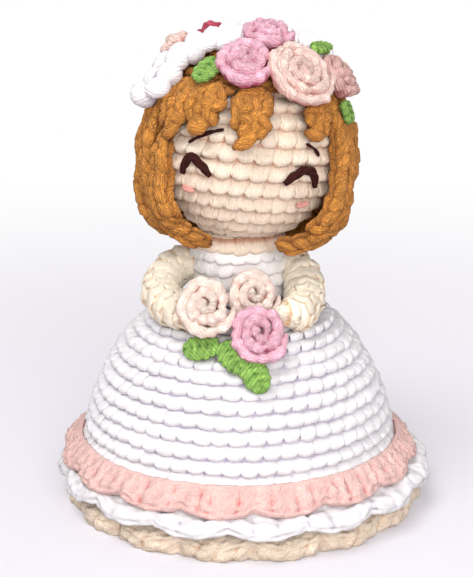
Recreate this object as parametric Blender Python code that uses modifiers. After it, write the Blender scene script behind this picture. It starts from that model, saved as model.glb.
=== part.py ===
"""A crocheted bride doll with a bell skirt, a bouquet and a flower headband.

It stands on its base with the origin at the middle of the underside, faces -Y, and is in metres.
The head and all that is sewn to it sit in the frame of head_pivot, which leans as the real head does.
Angles on the head: azimuth runs from the face towards +X, polar from the crown down.
"""

import math

import bmesh
import bpy
from mathutils import Matrix, Vector

# Driving dimensions, in metres

# Gap kept between pieces that touch, the distance at which doubled points are joined, and the fabric's thickness
gap = 0.0003
weld = 0.00001
fabric = 0.0025

# Skirt and base
skirt_foot_radius = 0.0445
skirt_height = 0.0564
waist_radius = 0.0105
base_thickness = 0.0026
insert_thickness = 0.0010

# Frills: radius and height of each one's outer edge, and the height where it is worked on to the skirt
pink_edge_radius = 0.0495
pink_edge_height = 0.0124
pink_root_height = 0.0187
white_edge_radius = 0.0521
white_edge_height = 0.0081
white_root_height = 0.0136
cream_edge_radius = 0.0497
cream_edge_height = 0.0030
cream_root_height = 0.0064
scallop_depth = 0.0013

# Bodice and neck
bodice_radius = 0.0132
bodice_top_height = 0.0714
neck_radius = 0.0100
neck_hole_radius = 0.0070
neck_top_height = 0.0752

# Head
head_radius = 0.0246
head_pivot_height = 0.0725
head_rise = 0.0244
head_opening_radius = 0.0086

# Hair
cap_thickness = 0.0026
strand_thickness = 0.0047
strand_fullness = 0.0040
bang_width = 0.0098
bang_thickness = 0.0048

# Headband: its section, and the circle that it runs along
band_width = 0.0122
band_thickness = 0.0054
band_circle_radius = 0.0263
band_forward = 0.0141

# Flowers and leaves
rose_radius = 0.0075
rose_height = 0.0062
petal_thickness = 0.0023
petal_gap = 0.00055
leaf_width = 0.0066
leaf_thickness = 0.0028

# Face stitches
eye_thread = 0.0015
brow_thread = 0.0007
blush_thread = 0.0012

# Arms and bouquet
shoulder_height = 0.0650
arm_radius = 0.0051
left_elbow_reach = 0.0207
right_elbow_reach = 0.0176
hand_reach = 0.0203
hand_height = 0.0566
left_hand_spread = 0.0112
right_hand_spread = 0.0142

# Angles in degrees, and counts
head_lean = 5.5
head_yaw = 3.0
bouquet_tilt = 27.0
cap_edge_polar = 48.0
strand_start_polar = 50.5
left_hair_azimuth = -58.0
right_hair_azimuth = 58.0
strand_count = 17
scallop_count = 16
steps_per_scallop = 4
puff_count = 8
rings_per_puff = 4
petals_per_turn = 9
skirt_steps = 32
round_steps = 24

# Colours, as linear red, green and blue
white_yarn = (0.86, 0.85, 0.90)
pink_yarn = (0.93, 0.56, 0.50)
cream_yarn = (0.90, 0.72, 0.52)
skin_yarn = (0.93, 0.76, 0.62)
hair_yarn = (0.52, 0.24, 0.06)
rose_pink = (0.84, 0.36, 0.48)
rose_peach = (0.92, 0.55, 0.45)
rose_salmon = (0.88, 0.44, 0.40)
bud_red = (0.70, 0.10, 0.16)
leaf_green = (0.16, 0.42, 0.06)
thread_brown = (0.05, 0.012, 0.010)
blush_pink = (0.85, 0.42, 0.40)
filling_white = (0.80, 0.80, 0.80)
card_grey = (0.60, 0.56, 0.50)


# Scene, collections and materials


def clear_scene():
    for obj in list(bpy.data.objects):
        bpy.data.objects.remove(obj)


def new_collection(name):
    collection = bpy.data.collections.new(name)
    bpy.context.scene.collection.children.link(collection)
    return collection


clear_scene()
doll = new_collection("crocheted_doll")
cutters = new_collection("cutters")


def finish(obj, colour, parent=None, location=None, roughness=0.9):
    """Puts a piece in the doll's collection with its parent, its place and a material of its own."""
    doll.objects.link(obj)
    obj.parent = parent
    if location is not None:
        obj.location = location
    material = bpy.data.materials.new(obj.name)
    material.use_nodes = True
    shader = material.node_tree.nodes["Principled BSDF"]
    shader.inputs["Base Color"].default_value = (*colour, 1.0)
    shader.inputs["Roughness"].default_value = roughness
    shader.inputs["Metallic"].default_value = 0.0
    material.diffuse_color = (*colour, 1.0)
    obj.data.materials.append(material)
    return obj


def cut(obj, cutter):
    """Trims a piece with a cutter, which is kept out of the render."""
    if cutter.name not in cutters.objects:
        cutters.objects.link(cutter)
    cutter.hide_render = True
    cutter.display_type = "WIRE"
    trim = obj.modifiers.new("trim_" + cutter.name, "BOOLEAN")
    trim.operation = "DIFFERENCE"
    trim.object = cutter


# Ways of making a shape


def polar_point(radius, angle):
    """(across, up) of a point on a circle, for an angle in degrees from straight up."""
    return radius * math.sin(math.radians(angle)), radius * math.cos(math.radians(angle))


def arc(radius, first, last, count):
    """Points on a circle about the origin, from one angle to another, from straight up."""
    step = (last - first) / (count - 1)
    return [polar_point(radius, first + step * i) for i in range(count)]


def inset(outline, distance):
    """An outline moved inwards, square to its own run, by a distance."""
    moved = []
    for i, (across, up) in enumerate(outline):
        before = outline[max(i - 1, 0)]
        after = outline[min(i + 1, len(outline) - 1)]
        run = Vector((after[0] - before[0], after[1] - before[1])).normalized()
        moved.append((across + run.y * distance, up - run.x * distance))
    return moved


def turned(name, outline, steps, wall=None):
    """Turns an outline, given top to bottom, about Z. With a wall it is an open shell, grown inwards."""
    mesh = bpy.data.meshes.new(name)
    points = [(across, 0, up) for across, up in outline]
    mesh.from_pydata(points, [(i, i + 1) for i in range(len(points) - 1)], [])
    obj = bpy.data.objects.new(name, mesh)
    screw = obj.modifiers.new("turn", "SCREW")
    screw.steps = steps
    screw.render_steps = steps
    screw.use_merge_vertices = True
    screw.merge_threshold = weld
    screw.use_smooth_shade = True
    if wall is not None:
        shell = obj.modifiers.new("wall", "SOLIDIFY")
        shell.thickness = wall
        shell.offset = -1.0
        shell.use_even_offset = True
    return obj


def loft(name, rings, closed=False):
    """Joins rings of points into one closed surface. The ends are capped, or the last ring meets the first."""
    work = bmesh.new()
    made = [[work.verts.new(point) for point in ring] for ring in rings]
    pairs = list(zip(made, made[1:]))
    if closed:
        pairs.append((made[-1], made[0]))
    for one, other in pairs:
        for i in range(len(one)):
            j = (i + 1) % len(one)
            work.faces.new((one[i], one[j], other[j], other[i]))
    if not closed:
        work.faces.new(made[0])
        work.faces.new(made[-1])
    bmesh.ops.recalc_face_normals(work, faces=work.faces)
    mesh = bpy.data.meshes.new(name)
    work.to_mesh(mesh)
    work.free()
    mesh.shade_smooth()
    mesh.set_sharp_from_angle(angle=math.radians(60))
    return bpy.data.objects.new(name, mesh)


def block(name, size, centre):
    """A plain box for a trim."""
    work = bmesh.new()
    bmesh.ops.create_cube(work, size=1)
    bmesh.ops.scale(work, vec=size, verts=work.verts)
    bmesh.ops.translate(work, vec=centre, verts=work.verts)
    mesh = bpy.data.meshes.new(name)
    work.to_mesh(mesh)
    work.free()
    return bpy.data.objects.new(name, mesh)


def oval(centre, side, height, sides):
    """Points of an oval about a centre, from its two half axes."""
    turns = [2 * math.pi * i / sides for i in range(sides)]
    return [centre + side * math.cos(turn) + height * math.sin(turn) for turn in turns]


def smooth_route(points, count):
    """Reads a number of points, evenly spread by share, from a smooth curve through the given ones."""
    read = []
    for i in range(count):
        place = i * (len(points) - 1) / (count - 1)
        first = min(int(place), len(points) - 2)
        share = place - first
        around = [points[min(max(first + k, 0), len(points) - 1)] for k in (-1, 0, 1, 2)]
        a, b, c, d = [Vector(point) for point in around]
        curved = 2 * b + (c - a) * share + (2 * a - 5 * b + 4 * c - d) * share**2
        read.append((curved + (3 * b - a - 3 * c + d) * share**3) / 2)
    return read


def thread(name, points, radius, radius_shares=None, resolution=1):
    """A round yarn or a stuffed tube along points, as a curve with filled caps."""
    curve = bpy.data.curves.new(name, "CURVE")
    curve.dimensions = "3D"
    curve.bevel_depth = radius
    curve.bevel_resolution = resolution
    curve.use_fill_caps = True
    spline = curve.splines.new("POLY")
    spline.points.add(len(points) - 1)
    for i, point in enumerate(points):
        spline.points[i].co = (*point, 1.0)
        spline.points[i].radius = radius_shares[i] if radius_shares else 1.0
    return bpy.data.objects.new(name, curve)


def as_mesh(obj):
    """Turns a curve into a welded mesh object that can be cut, in the same place, and removes the curve."""
    doll.objects.link(obj)
    bpy.context.view_layer.update()
    graph = bpy.context.evaluated_depsgraph_get()
    mesh = bpy.data.meshes.new_from_object(obj.evaluated_get(graph))
    work = bmesh.new()
    work.from_mesh(mesh)
    bmesh.ops.remove_doubles(work, verts=work.verts, dist=weld / 10)
    work.to_mesh(mesh)
    work.free()
    mesh.shade_smooth()
    name = obj.name
    place = obj.matrix_world.copy()
    bpy.data.objects.remove(obj)
    made = bpy.data.objects.new(name, mesh)
    made.matrix_world = place
    return made


# Skirt: a bell worked in the round, closed below by a flat disc with a card in it, and filled

skirt_outline_shares = (
    (0.00, 1.000), (0.11, 0.991), (0.268, 0.960), (0.416, 0.911), (0.545, 0.845), (0.655, 0.767),
    (0.75, 0.670), (0.83, 0.565), (0.897, 0.459), (0.957, 0.321), (1.00, 0.160), (1.00, 0.0),
)
skirt_bottom = base_thickness + gap
skirt_outline = [
    (
        waist_radius + across * (skirt_foot_radius - waist_radius),
        skirt_bottom + up * (skirt_height - skirt_bottom),
    )
    for across, up in skirt_outline_shares
]


def skirt_surface(radius):
    """Height and slope of the skirt's outside at a distance from its axis."""
    for (near, top), (far, low) in zip(skirt_outline, skirt_outline[1:]):
        if near <= radius <= far and far > near:
            share = (radius - near) / (far - near)
            return top + share * (low - top), math.atan2(top - low, far - near)
    return skirt_bottom, math.radians(90)


def make_skirt():
    finish(turned("skirt", skirt_outline, skirt_steps, fabric), white_yarn)
    lining = inset(skirt_outline, fabric + gap)
    floor = skirt_bottom + insert_thickness + gap
    inside = [(across, up) for across, up in lining if up > floor and across > waist_radius]
    top = inside[0][1]
    filling = [(0, top)] + inside + [(inside[-1][0], floor), (0, floor)]
    finish(turned("skirt_stuffing", filling, round_steps), filling_white)
    card_radius = skirt_foot_radius - fabric - gap
    card = [(0, skirt_bottom + insert_thickness), (card_radius, skirt_bottom + insert_thickness)]
    card += [(card_radius, skirt_bottom), (0, skirt_bottom)]
    finish(turned("base_insert", card, round_steps), card_grey, roughness=0.7)
    edge = base_thickness / 2
    rim = [(skirt_foot_radius - edge + across, edge + up) for across, up in arc(edge, 0, 180, 5)]
    disc = [(0, base_thickness)] + rim + [(0, 0)]
    finish(turned("base_disc", disc, skirt_steps), white_yarn)


# Frills: three scalloped bands worked on to the skirt, the lowest flat where the doll stands on it

pink_shares = ((0.0, 0.0), (0.50, 0.36), (0.93, 0.72), (1.0, 1.0), (0.72, 1.16), (0.10, 0.72))
white_shares = ((0.0, 0.0), (0.40, 0.44), (0.74, 0.50), (1.0, 0.84), (0.97, 1.12), (0.64, 1.20), (0.0, 0.69))
cream_shares = ((0.0, 0.0), (0.62, 0.35), (0.95, 0.62), (1.0, 1.15), (0.80, 2.03), (0.45, 2.03), (0.0, 1.5))
puff_power = 0.8


def frill(name, shares, edge_radius, edge_height, root_height, first_cusp, colour):
    """A ring whose section runs from its root on the skirt to its edge, drawn in between the scallops."""
    root_radius = skirt_foot_radius + gap
    count = scallop_count * steps_per_scallop
    rings = []
    for i in range(count):
        turn = 2 * math.pi * i / count
        puff = abs(math.sin(turn * scallop_count / 2)) ** puff_power
        around = turn + math.radians(first_cusp) - math.pi / 2
        ring = []
        for out, down in shares:
            radius = root_radius + out * (edge_radius - root_radius) - scallop_depth * out * (1 - puff)
            height = root_height + down * (edge_height - root_height)
            height += scallop_depth * out * (1 - puff) / 2
            ring.append(Vector((radius * math.cos(around), radius * math.sin(around), height)))
        rings.append(ring)
    return finish(loft(name, rings, closed=True), colour)


def make_frills():
    frill("frill_pink", pink_shares, pink_edge_radius, pink_edge_height, pink_root_height, 4.5, pink_yarn)
    frill("frill_white", white_shares, white_edge_radius, white_edge_height, white_root_height, -5.0,
          white_yarn)
    hem = frill("frill_cream", cream_shares, cream_edge_radius, cream_edge_height, cream_root_height, 2.0,
                cream_yarn)
    side = 3 * skirt_foot_radius
    cut(hem, block("floor_trim", (side, side, side), (0, 0, -side / 2)))


# Bodice and neck: a filled tube standing on the waist, closed above by the skin-coloured rows of the neck

bodice_shares = ((0.955, 1.0), (1.0, 0.86), (1.0, 0.60), (0.985, 0.35), (0.97, 0.15), (0.955, 0.0))
# The neck's outside: shares of the way from its own radius out to the bodice's, and of its rise
neck_shares = ((0.0, 1.0), (0.0, 0.45), (0.5, 0.34), (1.0, 0.12), (1.0, 0.0))


def make_bodice():
    bottom = skirt_height + gap
    outline = [
        (across * bodice_radius, bottom + up * (bodice_top_height - bottom)) for across, up in bodice_shares
    ]
    finish(turned("bodice", outline, round_steps, fabric), white_yarn)
    lining = inset(outline, fabric + gap)
    top = bodice_top_height - gap
    low = skirt_height - fabric / 2
    filling = [(0, top), (lining[0][0], top)] + lining[1:-1]
    filling += [(lining[-1][0], bottom), (waist_radius - fabric, low), (0, low)]
    finish(turned("bodice_stuffing", filling, round_steps), filling_white)


def make_neck(head_clearance):
    start = bodice_top_height + gap
    shoulder = bodice_shares[0][0] * bodice_radius
    rise = neck_top_height - start
    outline = [(neck_hole_radius, neck_top_height)]
    outline += [(neck_radius + out * (shoulder - neck_radius), start + up * rise) for out, up in neck_shares]
    outline += [(neck_hole_radius, start), (neck_hole_radius, neck_top_height)]
    neck = turned("neck", outline, round_steps)
    cut(finish(neck, skin_yarn), head_clearance)


# Head: a filled ball on a pivot at the top of the neck, which leans and turns it as the real one is sewn

head_pivot = bpy.data.objects.new("head_pivot", None)
doll.objects.link(head_pivot)
head_pivot.location = (0, 0, head_pivot_height)
lean = Matrix.Rotation(math.radians(head_lean), 4, "Y")
head_pivot.rotation_euler = (lean @ Matrix.Rotation(math.radians(head_yaw), 4, "Z")).to_euler()
head_centre = (0, 0, head_rise)


def on_head(azimuth, polar, distance):
    """A point at a distance from the middle of the head, in the head's own frame."""
    across, up = polar_point(distance, polar)
    turn = math.radians(azimuth)
    return Vector((across * math.sin(turn), -across * math.cos(turn), up))


def sew_on_head(obj, colour):
    return finish(obj, colour, head_pivot, head_centre)


def make_head():
    opening = 180 - math.degrees(math.asin(head_opening_radius / head_radius))
    outline = arc(head_radius, 0, opening, 13)
    sew_on_head(turned("head", outline, round_steps, fabric), skin_yarn)
    inner = head_radius - fabric - gap
    filling = arc(inner, 0, 180, 9)
    sew_on_head(turned("head_stuffing", filling, round_steps), filling_white)
    clearance = turned("head_clearance", arc(head_radius + gap, 0, 180, 17), round_steps)
    clearance.parent = head_pivot
    clearance.location = head_centre
    return clearance


# Hair: a cap on the crown, thick strands hung from its edge all round the back, and short ones in front

cap_inside = head_radius + gap
cap_outside = cap_inside + cap_thickness


def strip(name, stations, sides, colour):
    """A flattened strand that lies on the head, from (azimuth, polar, underside, width, thickness)."""
    middles = [on_head(a, p, under + thick / 2) for a, p, under, wide, thick in stations]
    rings = []
    for i, (a, p, under, wide, thick) in enumerate(stations):
        run = middles[min(i + 1, len(middles) - 1)] - middles[max(i - 1, 0)]
        outwards = on_head(a, p, 1)
        side = run.cross(outwards).normalized()
        rings.append(oval(middles[i], side * wide / 2, outwards * thick / 2, sides))
    return sew_on_head(loft(name, rings), colour)


def make_cap():
    outline = arc(cap_outside, 0, cap_edge_polar, 6)
    sew_on_head(turned("hair_cap", outline, round_steps, cap_thickness), hair_yarn)


# Along a strand, from the cap to its tip: place, width and thickness, and how far it stands off the head
strand_shares = (
    (0.0, 0.62, 0.50, 0.0), (0.12, 0.92, 0.74, 0.0), (0.30, 1.0, 0.92, 0.0), (0.48, 1.0, 1.0, 0.0),
    (0.63, 1.0, 1.0, 0.24), (0.75, 1.0, 1.0, 0.66), (0.86, 1.0, 1.0, 0.96), (0.95, 0.94, 0.92, 1.0),
    (1.0, 0.60, 0.55, 1.0),
)
# Polar angle of the tip, how far it sweeps towards the face, and the share of the length where that begins,
# for the strands nearest to the face and then for the rest
near_face_tips = ((131.0, 15.0, 0.55), (144.0, 25.0, 0.72), (144.0, 8.0, 0.75))
other_tips = (145.0, 0.0, 0.75)
# The strand by the left cheek comes out from under the outer short strand
left_cheek_start_polar = 84.0


def make_strands():
    spread = 360 - right_hair_azimuth + left_hair_azimuth
    pitch = spread / (strand_count - 1)
    for i in range(strand_count):
        azimuth = right_hair_azimuth + pitch * i
        from_face = min(i, strand_count - 1 - i)
        tip, sweep, bend = near_face_tips[from_face] if from_face < len(near_face_tips) else other_tips
        towards_face = -1 if i < strand_count / 2 else 1
        start = left_cheek_start_polar if i == strand_count - 1 else strand_start_polar
        stations = []
        for along, wide, thick, off in strand_shares:
            polar = start + along * (tip - start)
            turned_by = towards_face * sweep * max(0, (along - bend) / (1 - bend)) ** 1.2
            under = cap_inside + off * strand_fullness
            room = 2 * (under + strand_thickness / 2) * math.sin(math.radians(min(polar, 180 - polar)))
            width = room * math.sin(math.radians(pitch / 2)) - gap
            stations.append((azimuth + turned_by, polar, under, wide * width, thick * strand_thickness))
        strip("hair_strand_%02d" % (i + 1), stations, 6, hair_yarn)


# Each short strand over the forehead: its root and tip (azimuth, polar), and its share of the full width
bangs = {
    "bang_outer_left": ((-56.0, 50.5), (-50.0, 80.0), 0.81),
    "bang_left": ((-37.5, 50.5), (-32.5, 77.0), 0.66),
    "bang_inner_left": ((-23.0, 50.5), (-21.0, 66.0), 0.39),
    "bang_middle": ((-3.5, 50.5), (-6.5, 82.0), 1.0),
    "bang_right": ((43.0, 52.0), (32.0, 74.0), 0.69),
}
bang_shares = (
    (0.0, 0.80, 0.50), (0.2, 1.0, 0.80), (0.45, 1.0, 1.0), (0.7, 0.86, 0.98), (0.9, 0.56, 0.80), (1.0, 0.26, 0.42),
)


def make_bangs():
    for name, (root, tip, full) in bangs.items():
        stations = []
        for along, wide, thick in bang_shares:
            azimuth = root[0] + along * (tip[0] - root[0])
            polar = root[1] + along * (tip[1] - root[1])
            stations.append((azimuth, polar, cap_inside, wide * full * bang_width, thick * bang_thickness))
        strip(name, stations, 6, hair_yarn)


# Face: closed eyes, brows and cheeks, each sewn with one thread through (azimuth, polar)

face_stitches = {
    "eye_left": (((-44, 102.5), (-41.5, 95), (-37, 90.5), (-30.5, 95), (-24.5, 101)), eye_thread, thread_brown),
    "eye_right": (((19.5, 101.5), (25.5, 95.5), (31.5, 92), (38.5, 94.5), (43, 104)), eye_thread, thread_brown),
    "brow_left": (((-40.5, 84), (-34, 79.5), (-27, 76), (-19.5, 73.5)), brow_thread, thread_brown),
    "brow_right": (((31.5, 78.5), (35, 79.8), (38.5, 82), (41.5, 85.5)), brow_thread, thread_brown),
    "cheek_left": (((-45.5, 110.5), (-41, 112), (-36.5, 112.5)), blush_thread, blush_pink),
    "cheek_right": (((33, 115.5), (37.5, 115.5), (42, 114)), blush_thread, blush_pink),
}


def make_face():
    for name, (route, width, colour) in face_stitches.items():
        points = [on_head(azimuth, polar, cap_inside + width / 2) for azimuth, polar in route]
        sew_on_head(thread(name, points, width / 2), colour)


# Headband: an arch of white puffs over the crown, its ends brought forward to the temples

band_left_turn = 82.0
band_right_turn = 48.0
band_tilt_back = 25.8
# Thickness at the crown, how far round it is full again, and what is left of it between two puffs, as shares
crown_share = 0.58
full_from_share = 0.6
waist_share = 0.72


def make_headband():
    """The arch lies on a circle that stands in front of the head's middle and tilts back."""
    tilt = math.radians(band_tilt_back)
    upwards = Vector((0, math.sin(tilt), math.cos(tilt)))
    forwards = Vector((0, -math.cos(tilt), math.sin(tilt)))
    count = puff_count * rings_per_puff
    rings = []
    for i in range(count + 1):
        turn = math.radians(-band_left_turn + (band_left_turn + band_right_turn) * i / count)
        way = Vector((math.sin(turn), 0, 0)) + upwards * math.cos(turn)
        along = Vector((math.cos(turn), 0, 0)) - upwards * math.sin(turn)
        outwards = (forwards * band_forward + way * band_circle_radius).normalized()
        aside = abs(turn) / math.radians(band_left_turn)
        full = crown_share + (1 - crown_share) * min(1, aside / full_from_share)
        swell = abs(math.sin(math.pi * i / rings_per_puff)) if 0 < i < count else 0
        swell = waist_share + (1 - waist_share) * swell
        under = cap_outside + gap + aside**2 * (cap_inside + bang_thickness - cap_outside)
        thick = band_thickness * full * swell
        side = along.cross(outwards).normalized()
        wide = band_width * swell
        rings.append(oval(outwards * (under + thick / 2), side * wide / 2, outwards * thick / 2, 8))
    band = sew_on_head(loft("headband", rings), white_yarn)
    for name in roses_in_band:
        cut(band, rose_clearance(name + "_clearance", name))


# Flowers: each rose is one petal strip rolled up, and each leaf a pointed oval on its own

step_out_share = 0.3
rim_drop_share = 0.28
rose_foot_share = 0.80
strip_end_share = 0.6
# A petal's section: shares of half its thickness and of its height, from the foot round the rim
petal_shares = ((-1, 0), (-1, 0.72), (-0.35, 1), (0.45, 1), (1, 0.66), (1, 0))
leaf_shares = ((0.0, 0.30), (0.18, 0.80), (0.42, 1.0), (0.68, 0.86), (0.88, 0.50), (1.0, 0.14))


def rose(name, radius, foot, facing, up_hint):
    """A strip rolled up in layers, standing on foot and opening along facing, wider at its rim.

    Each layer keeps to its own circle, and the strip steps out to the next one in the first part of a turn.
    """
    facing = facing.normalized()
    across = up_hint.cross(facing).normalized()
    upright = facing.cross(across)
    layers = max(2, round(radius / petal_thickness))
    thick = (radius - petal_gap * (layers - 0.5)) / layers
    pitch = thick + petal_gap
    first = round(step_out_share * petals_per_turn)
    rings = []
    for i in range(first, layers * petals_per_turn + 1):
        layer, part = divmod(i / petals_per_turn, 1)
        stepped = min(1, part / step_out_share) if layer else 1
        reach = (thick + petal_gap) / 2 + pitch * (layer - 1 + stepped)
        turn = 2 * math.pi * part
        spoke = across * math.cos(turn) + upright * math.sin(turn)
        rim = rose_height * (1 - rim_drop_share * (reach / radius) ** 2)
        end = strip_end_share if i in (first, layers * petals_per_turn) else 1
        ring = []
        for side, height in petal_shares:
            share = rose_foot_share + (1 - rose_foot_share) * height
            ring.append(foot + spoke * ((reach + side * end * thick / 2) * share) + facing * (rim * height))
        rings.append(ring)
    print(name, "least gap between its layers, mm: %.2f" % (1000 * petal_gap * rose_foot_share))
    return loft(name, rings)


def leaf(name, base, tip, facing, width):
    """A flat leaf from base to tip, facing outwards, with a low spine."""
    run = tip - base
    facing = (facing - run * facing.dot(run) / run.length_squared).normalized()
    side = run.cross(facing).normalized()
    rings = []
    for along, wide in leaf_shares:
        rings.append(oval(base + run * along, side * width * wide / 2, facing * leaf_thickness * wide / 2, 6))
    return loft(name, rings)


# Each flower on the head: azimuth, polar, its share of the full radius, and its foot's height off the cap
# as a share of a petal's thickness
head_roses = {
    "head_rose_pink": (-11.0, 39.5, 0.97, 0.0, rose_pink),
    "head_rose_peach": (27.0, 45.5, 1.16, 0.2, rose_peach),
    "head_rose_salmon": (66.0, 46.5, 0.83, 0.3, rose_salmon),
    "head_rose_back_pink": (13.0, 16.0, 0.89, 0.4, rose_pink),
    "head_rose_small": (-102.0, 41.5, 0.58, 0.8, rose_peach),
    "head_bud": (-125.0, 28.0, 0.48, 0.0, bud_red),
}
roses_in_band = ("head_rose_salmon", "head_rose_back_pink", "head_rose_small", "head_bud")
# Each leaf on the head: azimuth, polar and height off the cap, in leaf thicknesses, of its base and its tip,
# and its share of the full width
head_leaves = {
    "head_leaf_left": ((-38.0, 40.0, 0.62), (-42.0, 55.0, 0.9), 1.0),
    "head_leaf_back": ((57.0, 34.0, 2.3), (76.0, 31.0, 2.6), 0.72),
    "head_leaf_right": ((61.0, 59.0, 0.9), (58.0, 70.0, 1.0), 0.8),
}


def rose_clearance(name, of_rose):
    """A cone that a rose on the head fits in, to trim what it is sewn over."""
    azimuth, polar, full, lift, colour = head_roses[of_rose]
    work = bmesh.new()
    foot = rose_foot_share * full * rose_radius + gap
    rim = foot + 2 * (1 - rose_foot_share) * full * rose_radius
    height = 2 * rose_height
    bmesh.ops.create_cone(work, cap_ends=True, segments=16, radius1=foot, radius2=rim, depth=height)
    bmesh.ops.translate(work, vec=(0, 0, height / 2 - gap), verts=work.verts)
    mesh = bpy.data.meshes.new(name)
    work.to_mesh(mesh)
    work.free()
    cutter = bpy.data.objects.new(name, mesh)
    cutter.parent = head_pivot
    facing = on_head(azimuth, polar, cap_outside + gap + lift * petal_thickness)
    cutter.location = Vector(head_centre) + facing
    cutter.rotation_euler = facing.to_track_quat("Z", "Y").to_euler()
    return cutter


def make_head_flowers():
    for name, (azimuth, polar, full, lift, colour) in head_roses.items():
        foot = on_head(azimuth, polar, cap_outside + gap + lift * petal_thickness)
        sew_on_head(rose(name, full * rose_radius, foot, foot, Vector((0, 0, 1))), colour)
    for name, (base, tip, full) in head_leaves.items():
        ends = [on_head(azimuth, polar, cap_outside + off * leaf_thickness) for azimuth, polar, off in (base, tip)]
        sew_on_head(leaf(name, ends[0], ends[1], ends[0] + ends[1], full * leaf_width), leaf_green)


# Arms: stuffed tubes from the shoulders, resting on the skirt, with the hands together at the bouquet

# Along an arm: shares of the way out to the elbow, forward to the hand, down to the hand, and its girth
arm_shares = (
    (0.0, 0.0, 0.0, 0.90), (0.45, 0.06, 0.07, 0.96), (0.88, 0.24, 0.36, 1.0), (1.0, 0.50, 0.70, 1.0),
    (0.78, 0.78, 0.90, 0.97), (0.35, 0.96, 1.0, 0.93), (0.0, 1.0, 1.0, 0.86),
)
arm_ring_count = 10
# The rounded hand past the last of these: shares of the arm's radius on, and of the girth there
hand_shares = ((0.45, 0.80), (0.75, 0.45))


def make_arm(name, side, elbow_reach, hand_spread, trims):
    """The arm's origin is its shoulder, on the axis that both arms swing about."""
    shoulder = Vector((side * (bodice_radius + gap), 0, shoulder_height))
    points = []
    for i, (out, forward, down, girth) in enumerate(arm_shares):
        inner = bodice_radius - fabric / 2 if i < len(arm_shares) / 2 else hand_spread
        points.append((
            side * (inner + out * (elbow_reach - inner)) - shoulder.x,
            -forward * hand_reach,
            -down * (shoulder_height - hand_height),
        ))
    route = smooth_route(points, arm_ring_count)
    girths = smooth_route([(girth, 0, 0) for out, forward, down, girth in arm_shares], arm_ring_count)
    shares = [girth.x for girth in girths]
    run = (route[-1] - route[-2]).normalized()
    for reach, narrowing in hand_shares:
        route.append(route[arm_ring_count - 1] + run * arm_radius * reach)
        shares.append(shares[arm_ring_count - 1] * narrowing)
    arm = as_mesh(thread(name, route, arm_radius, shares, resolution=3))
    finish(arm, skin_yarn, location=shoulder)
    for trim in trims:
        cut(arm, trim)


# Bouquet: each rose's place (across and forward as shares of the skirt's foot radius, height as a share of
# the skirt's), and its share of the full radius
bouquet_roses = {
    "bouquet_rose_left": ((-0.180, 0.546, 1.042), 1.03, rose_peach),
    "bouquet_rose_top": ((0.098, 0.410, 1.062), 0.93, rose_peach),
    "bouquet_rose_front": ((0.125, 0.636, 0.936), 1.0, rose_pink),
}
# Each leaf on the skirt: across and forward at its base and its tip, and its share of the full width
bouquet_leaves = {
    "bouquet_leaf_left": ((-0.118, 0.648), (-0.325, 0.626), 1.03),
    "bouquet_leaf_middle": ((-0.090, 0.652), (0.000, 0.762), 0.97),
    "bouquet_leaf_front": ((0.052, 0.733), (0.132, 0.826), 1.0),
}
leaf_seat_share = 0.68


def make_bouquet():
    tilt = math.radians(bouquet_tilt)
    facing = Vector((0, -math.cos(tilt), math.sin(tilt)))
    for name, ((across, forward, up), full, colour) in bouquet_roses.items():
        foot = Vector((across * skirt_foot_radius, -forward * skirt_foot_radius, up * skirt_height))
        finish(rose(name, full * rose_radius, foot, facing, Vector((0, 0, 1))), colour)
    for name, (base, tip, full) in bouquet_leaves.items():
        ends = []
        for across, forward in (base, tip):
            height, slope = skirt_surface(math.hypot(across, forward) * skirt_foot_radius)
            lift = (leaf_thickness * leaf_seat_share + gap) / math.cos(slope)
            ends.append(Vector((across * skirt_foot_radius, -forward * skirt_foot_radius, height + lift)))
        facing = Vector((0, -math.sin(slope), math.cos(slope)))
        finish(leaf(name, ends[0], ends[1], facing, full * leaf_width), leaf_green)


make_skirt()
make_frills()
head_clearance = make_head()
make_bodice()
make_neck(head_clearance)
make_cap()
make_strands()
make_bangs()
make_face()
make_headband()
make_head_flowers()
skirt_clearance = turned("skirt_clearance", inset(skirt_outline, -gap) + [(0, 0)], skirt_steps)
shoulder_size = (2 * (bodice_radius + gap), 3 * arm_radius, 3 * arm_radius)
shoulder_trim = block("shoulder_trim", shoulder_size, (0, 0, shoulder_height))
make_arm("arm_left", -1, left_elbow_reach, left_hand_spread, [skirt_clearance, shoulder_trim])
make_arm("arm_right", 1, right_elbow_reach, right_hand_spread, [skirt_clearance, shoulder_trim])
make_bouquet()
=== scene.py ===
import math

import bmesh
import bpy
import numpy as np
from mathutils import Matrix, Vector, noise


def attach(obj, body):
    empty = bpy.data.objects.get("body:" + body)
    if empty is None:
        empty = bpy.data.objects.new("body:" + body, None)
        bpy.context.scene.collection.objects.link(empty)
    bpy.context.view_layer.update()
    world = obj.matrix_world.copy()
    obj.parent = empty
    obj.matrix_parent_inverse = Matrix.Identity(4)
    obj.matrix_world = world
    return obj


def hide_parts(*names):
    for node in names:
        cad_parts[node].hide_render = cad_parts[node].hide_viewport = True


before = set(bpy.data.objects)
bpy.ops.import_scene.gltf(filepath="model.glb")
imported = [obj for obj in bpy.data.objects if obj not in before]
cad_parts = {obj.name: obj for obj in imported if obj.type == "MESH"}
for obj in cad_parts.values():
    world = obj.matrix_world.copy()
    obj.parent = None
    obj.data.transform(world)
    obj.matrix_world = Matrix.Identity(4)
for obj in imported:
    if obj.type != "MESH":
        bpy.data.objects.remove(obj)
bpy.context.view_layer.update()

# Base: a card disc inside the foot of the skirt, and under it a flat disc worked in the round
# in white cotton, sewn to the foot of the skirt all round its rim.
# Every crocheted piece below is a soft lining with stitches set on it, row by row.
card_brown = (0.42, 0.36, 0.28)
disc_radius = 0.0440
disc_top = 0.0026
disc_underside = 0.0005
disc_row = 0.0041
disc_rows = 10
disc_stitch = 0.0008
white = (0.87, 0.86, 0.885)
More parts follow.
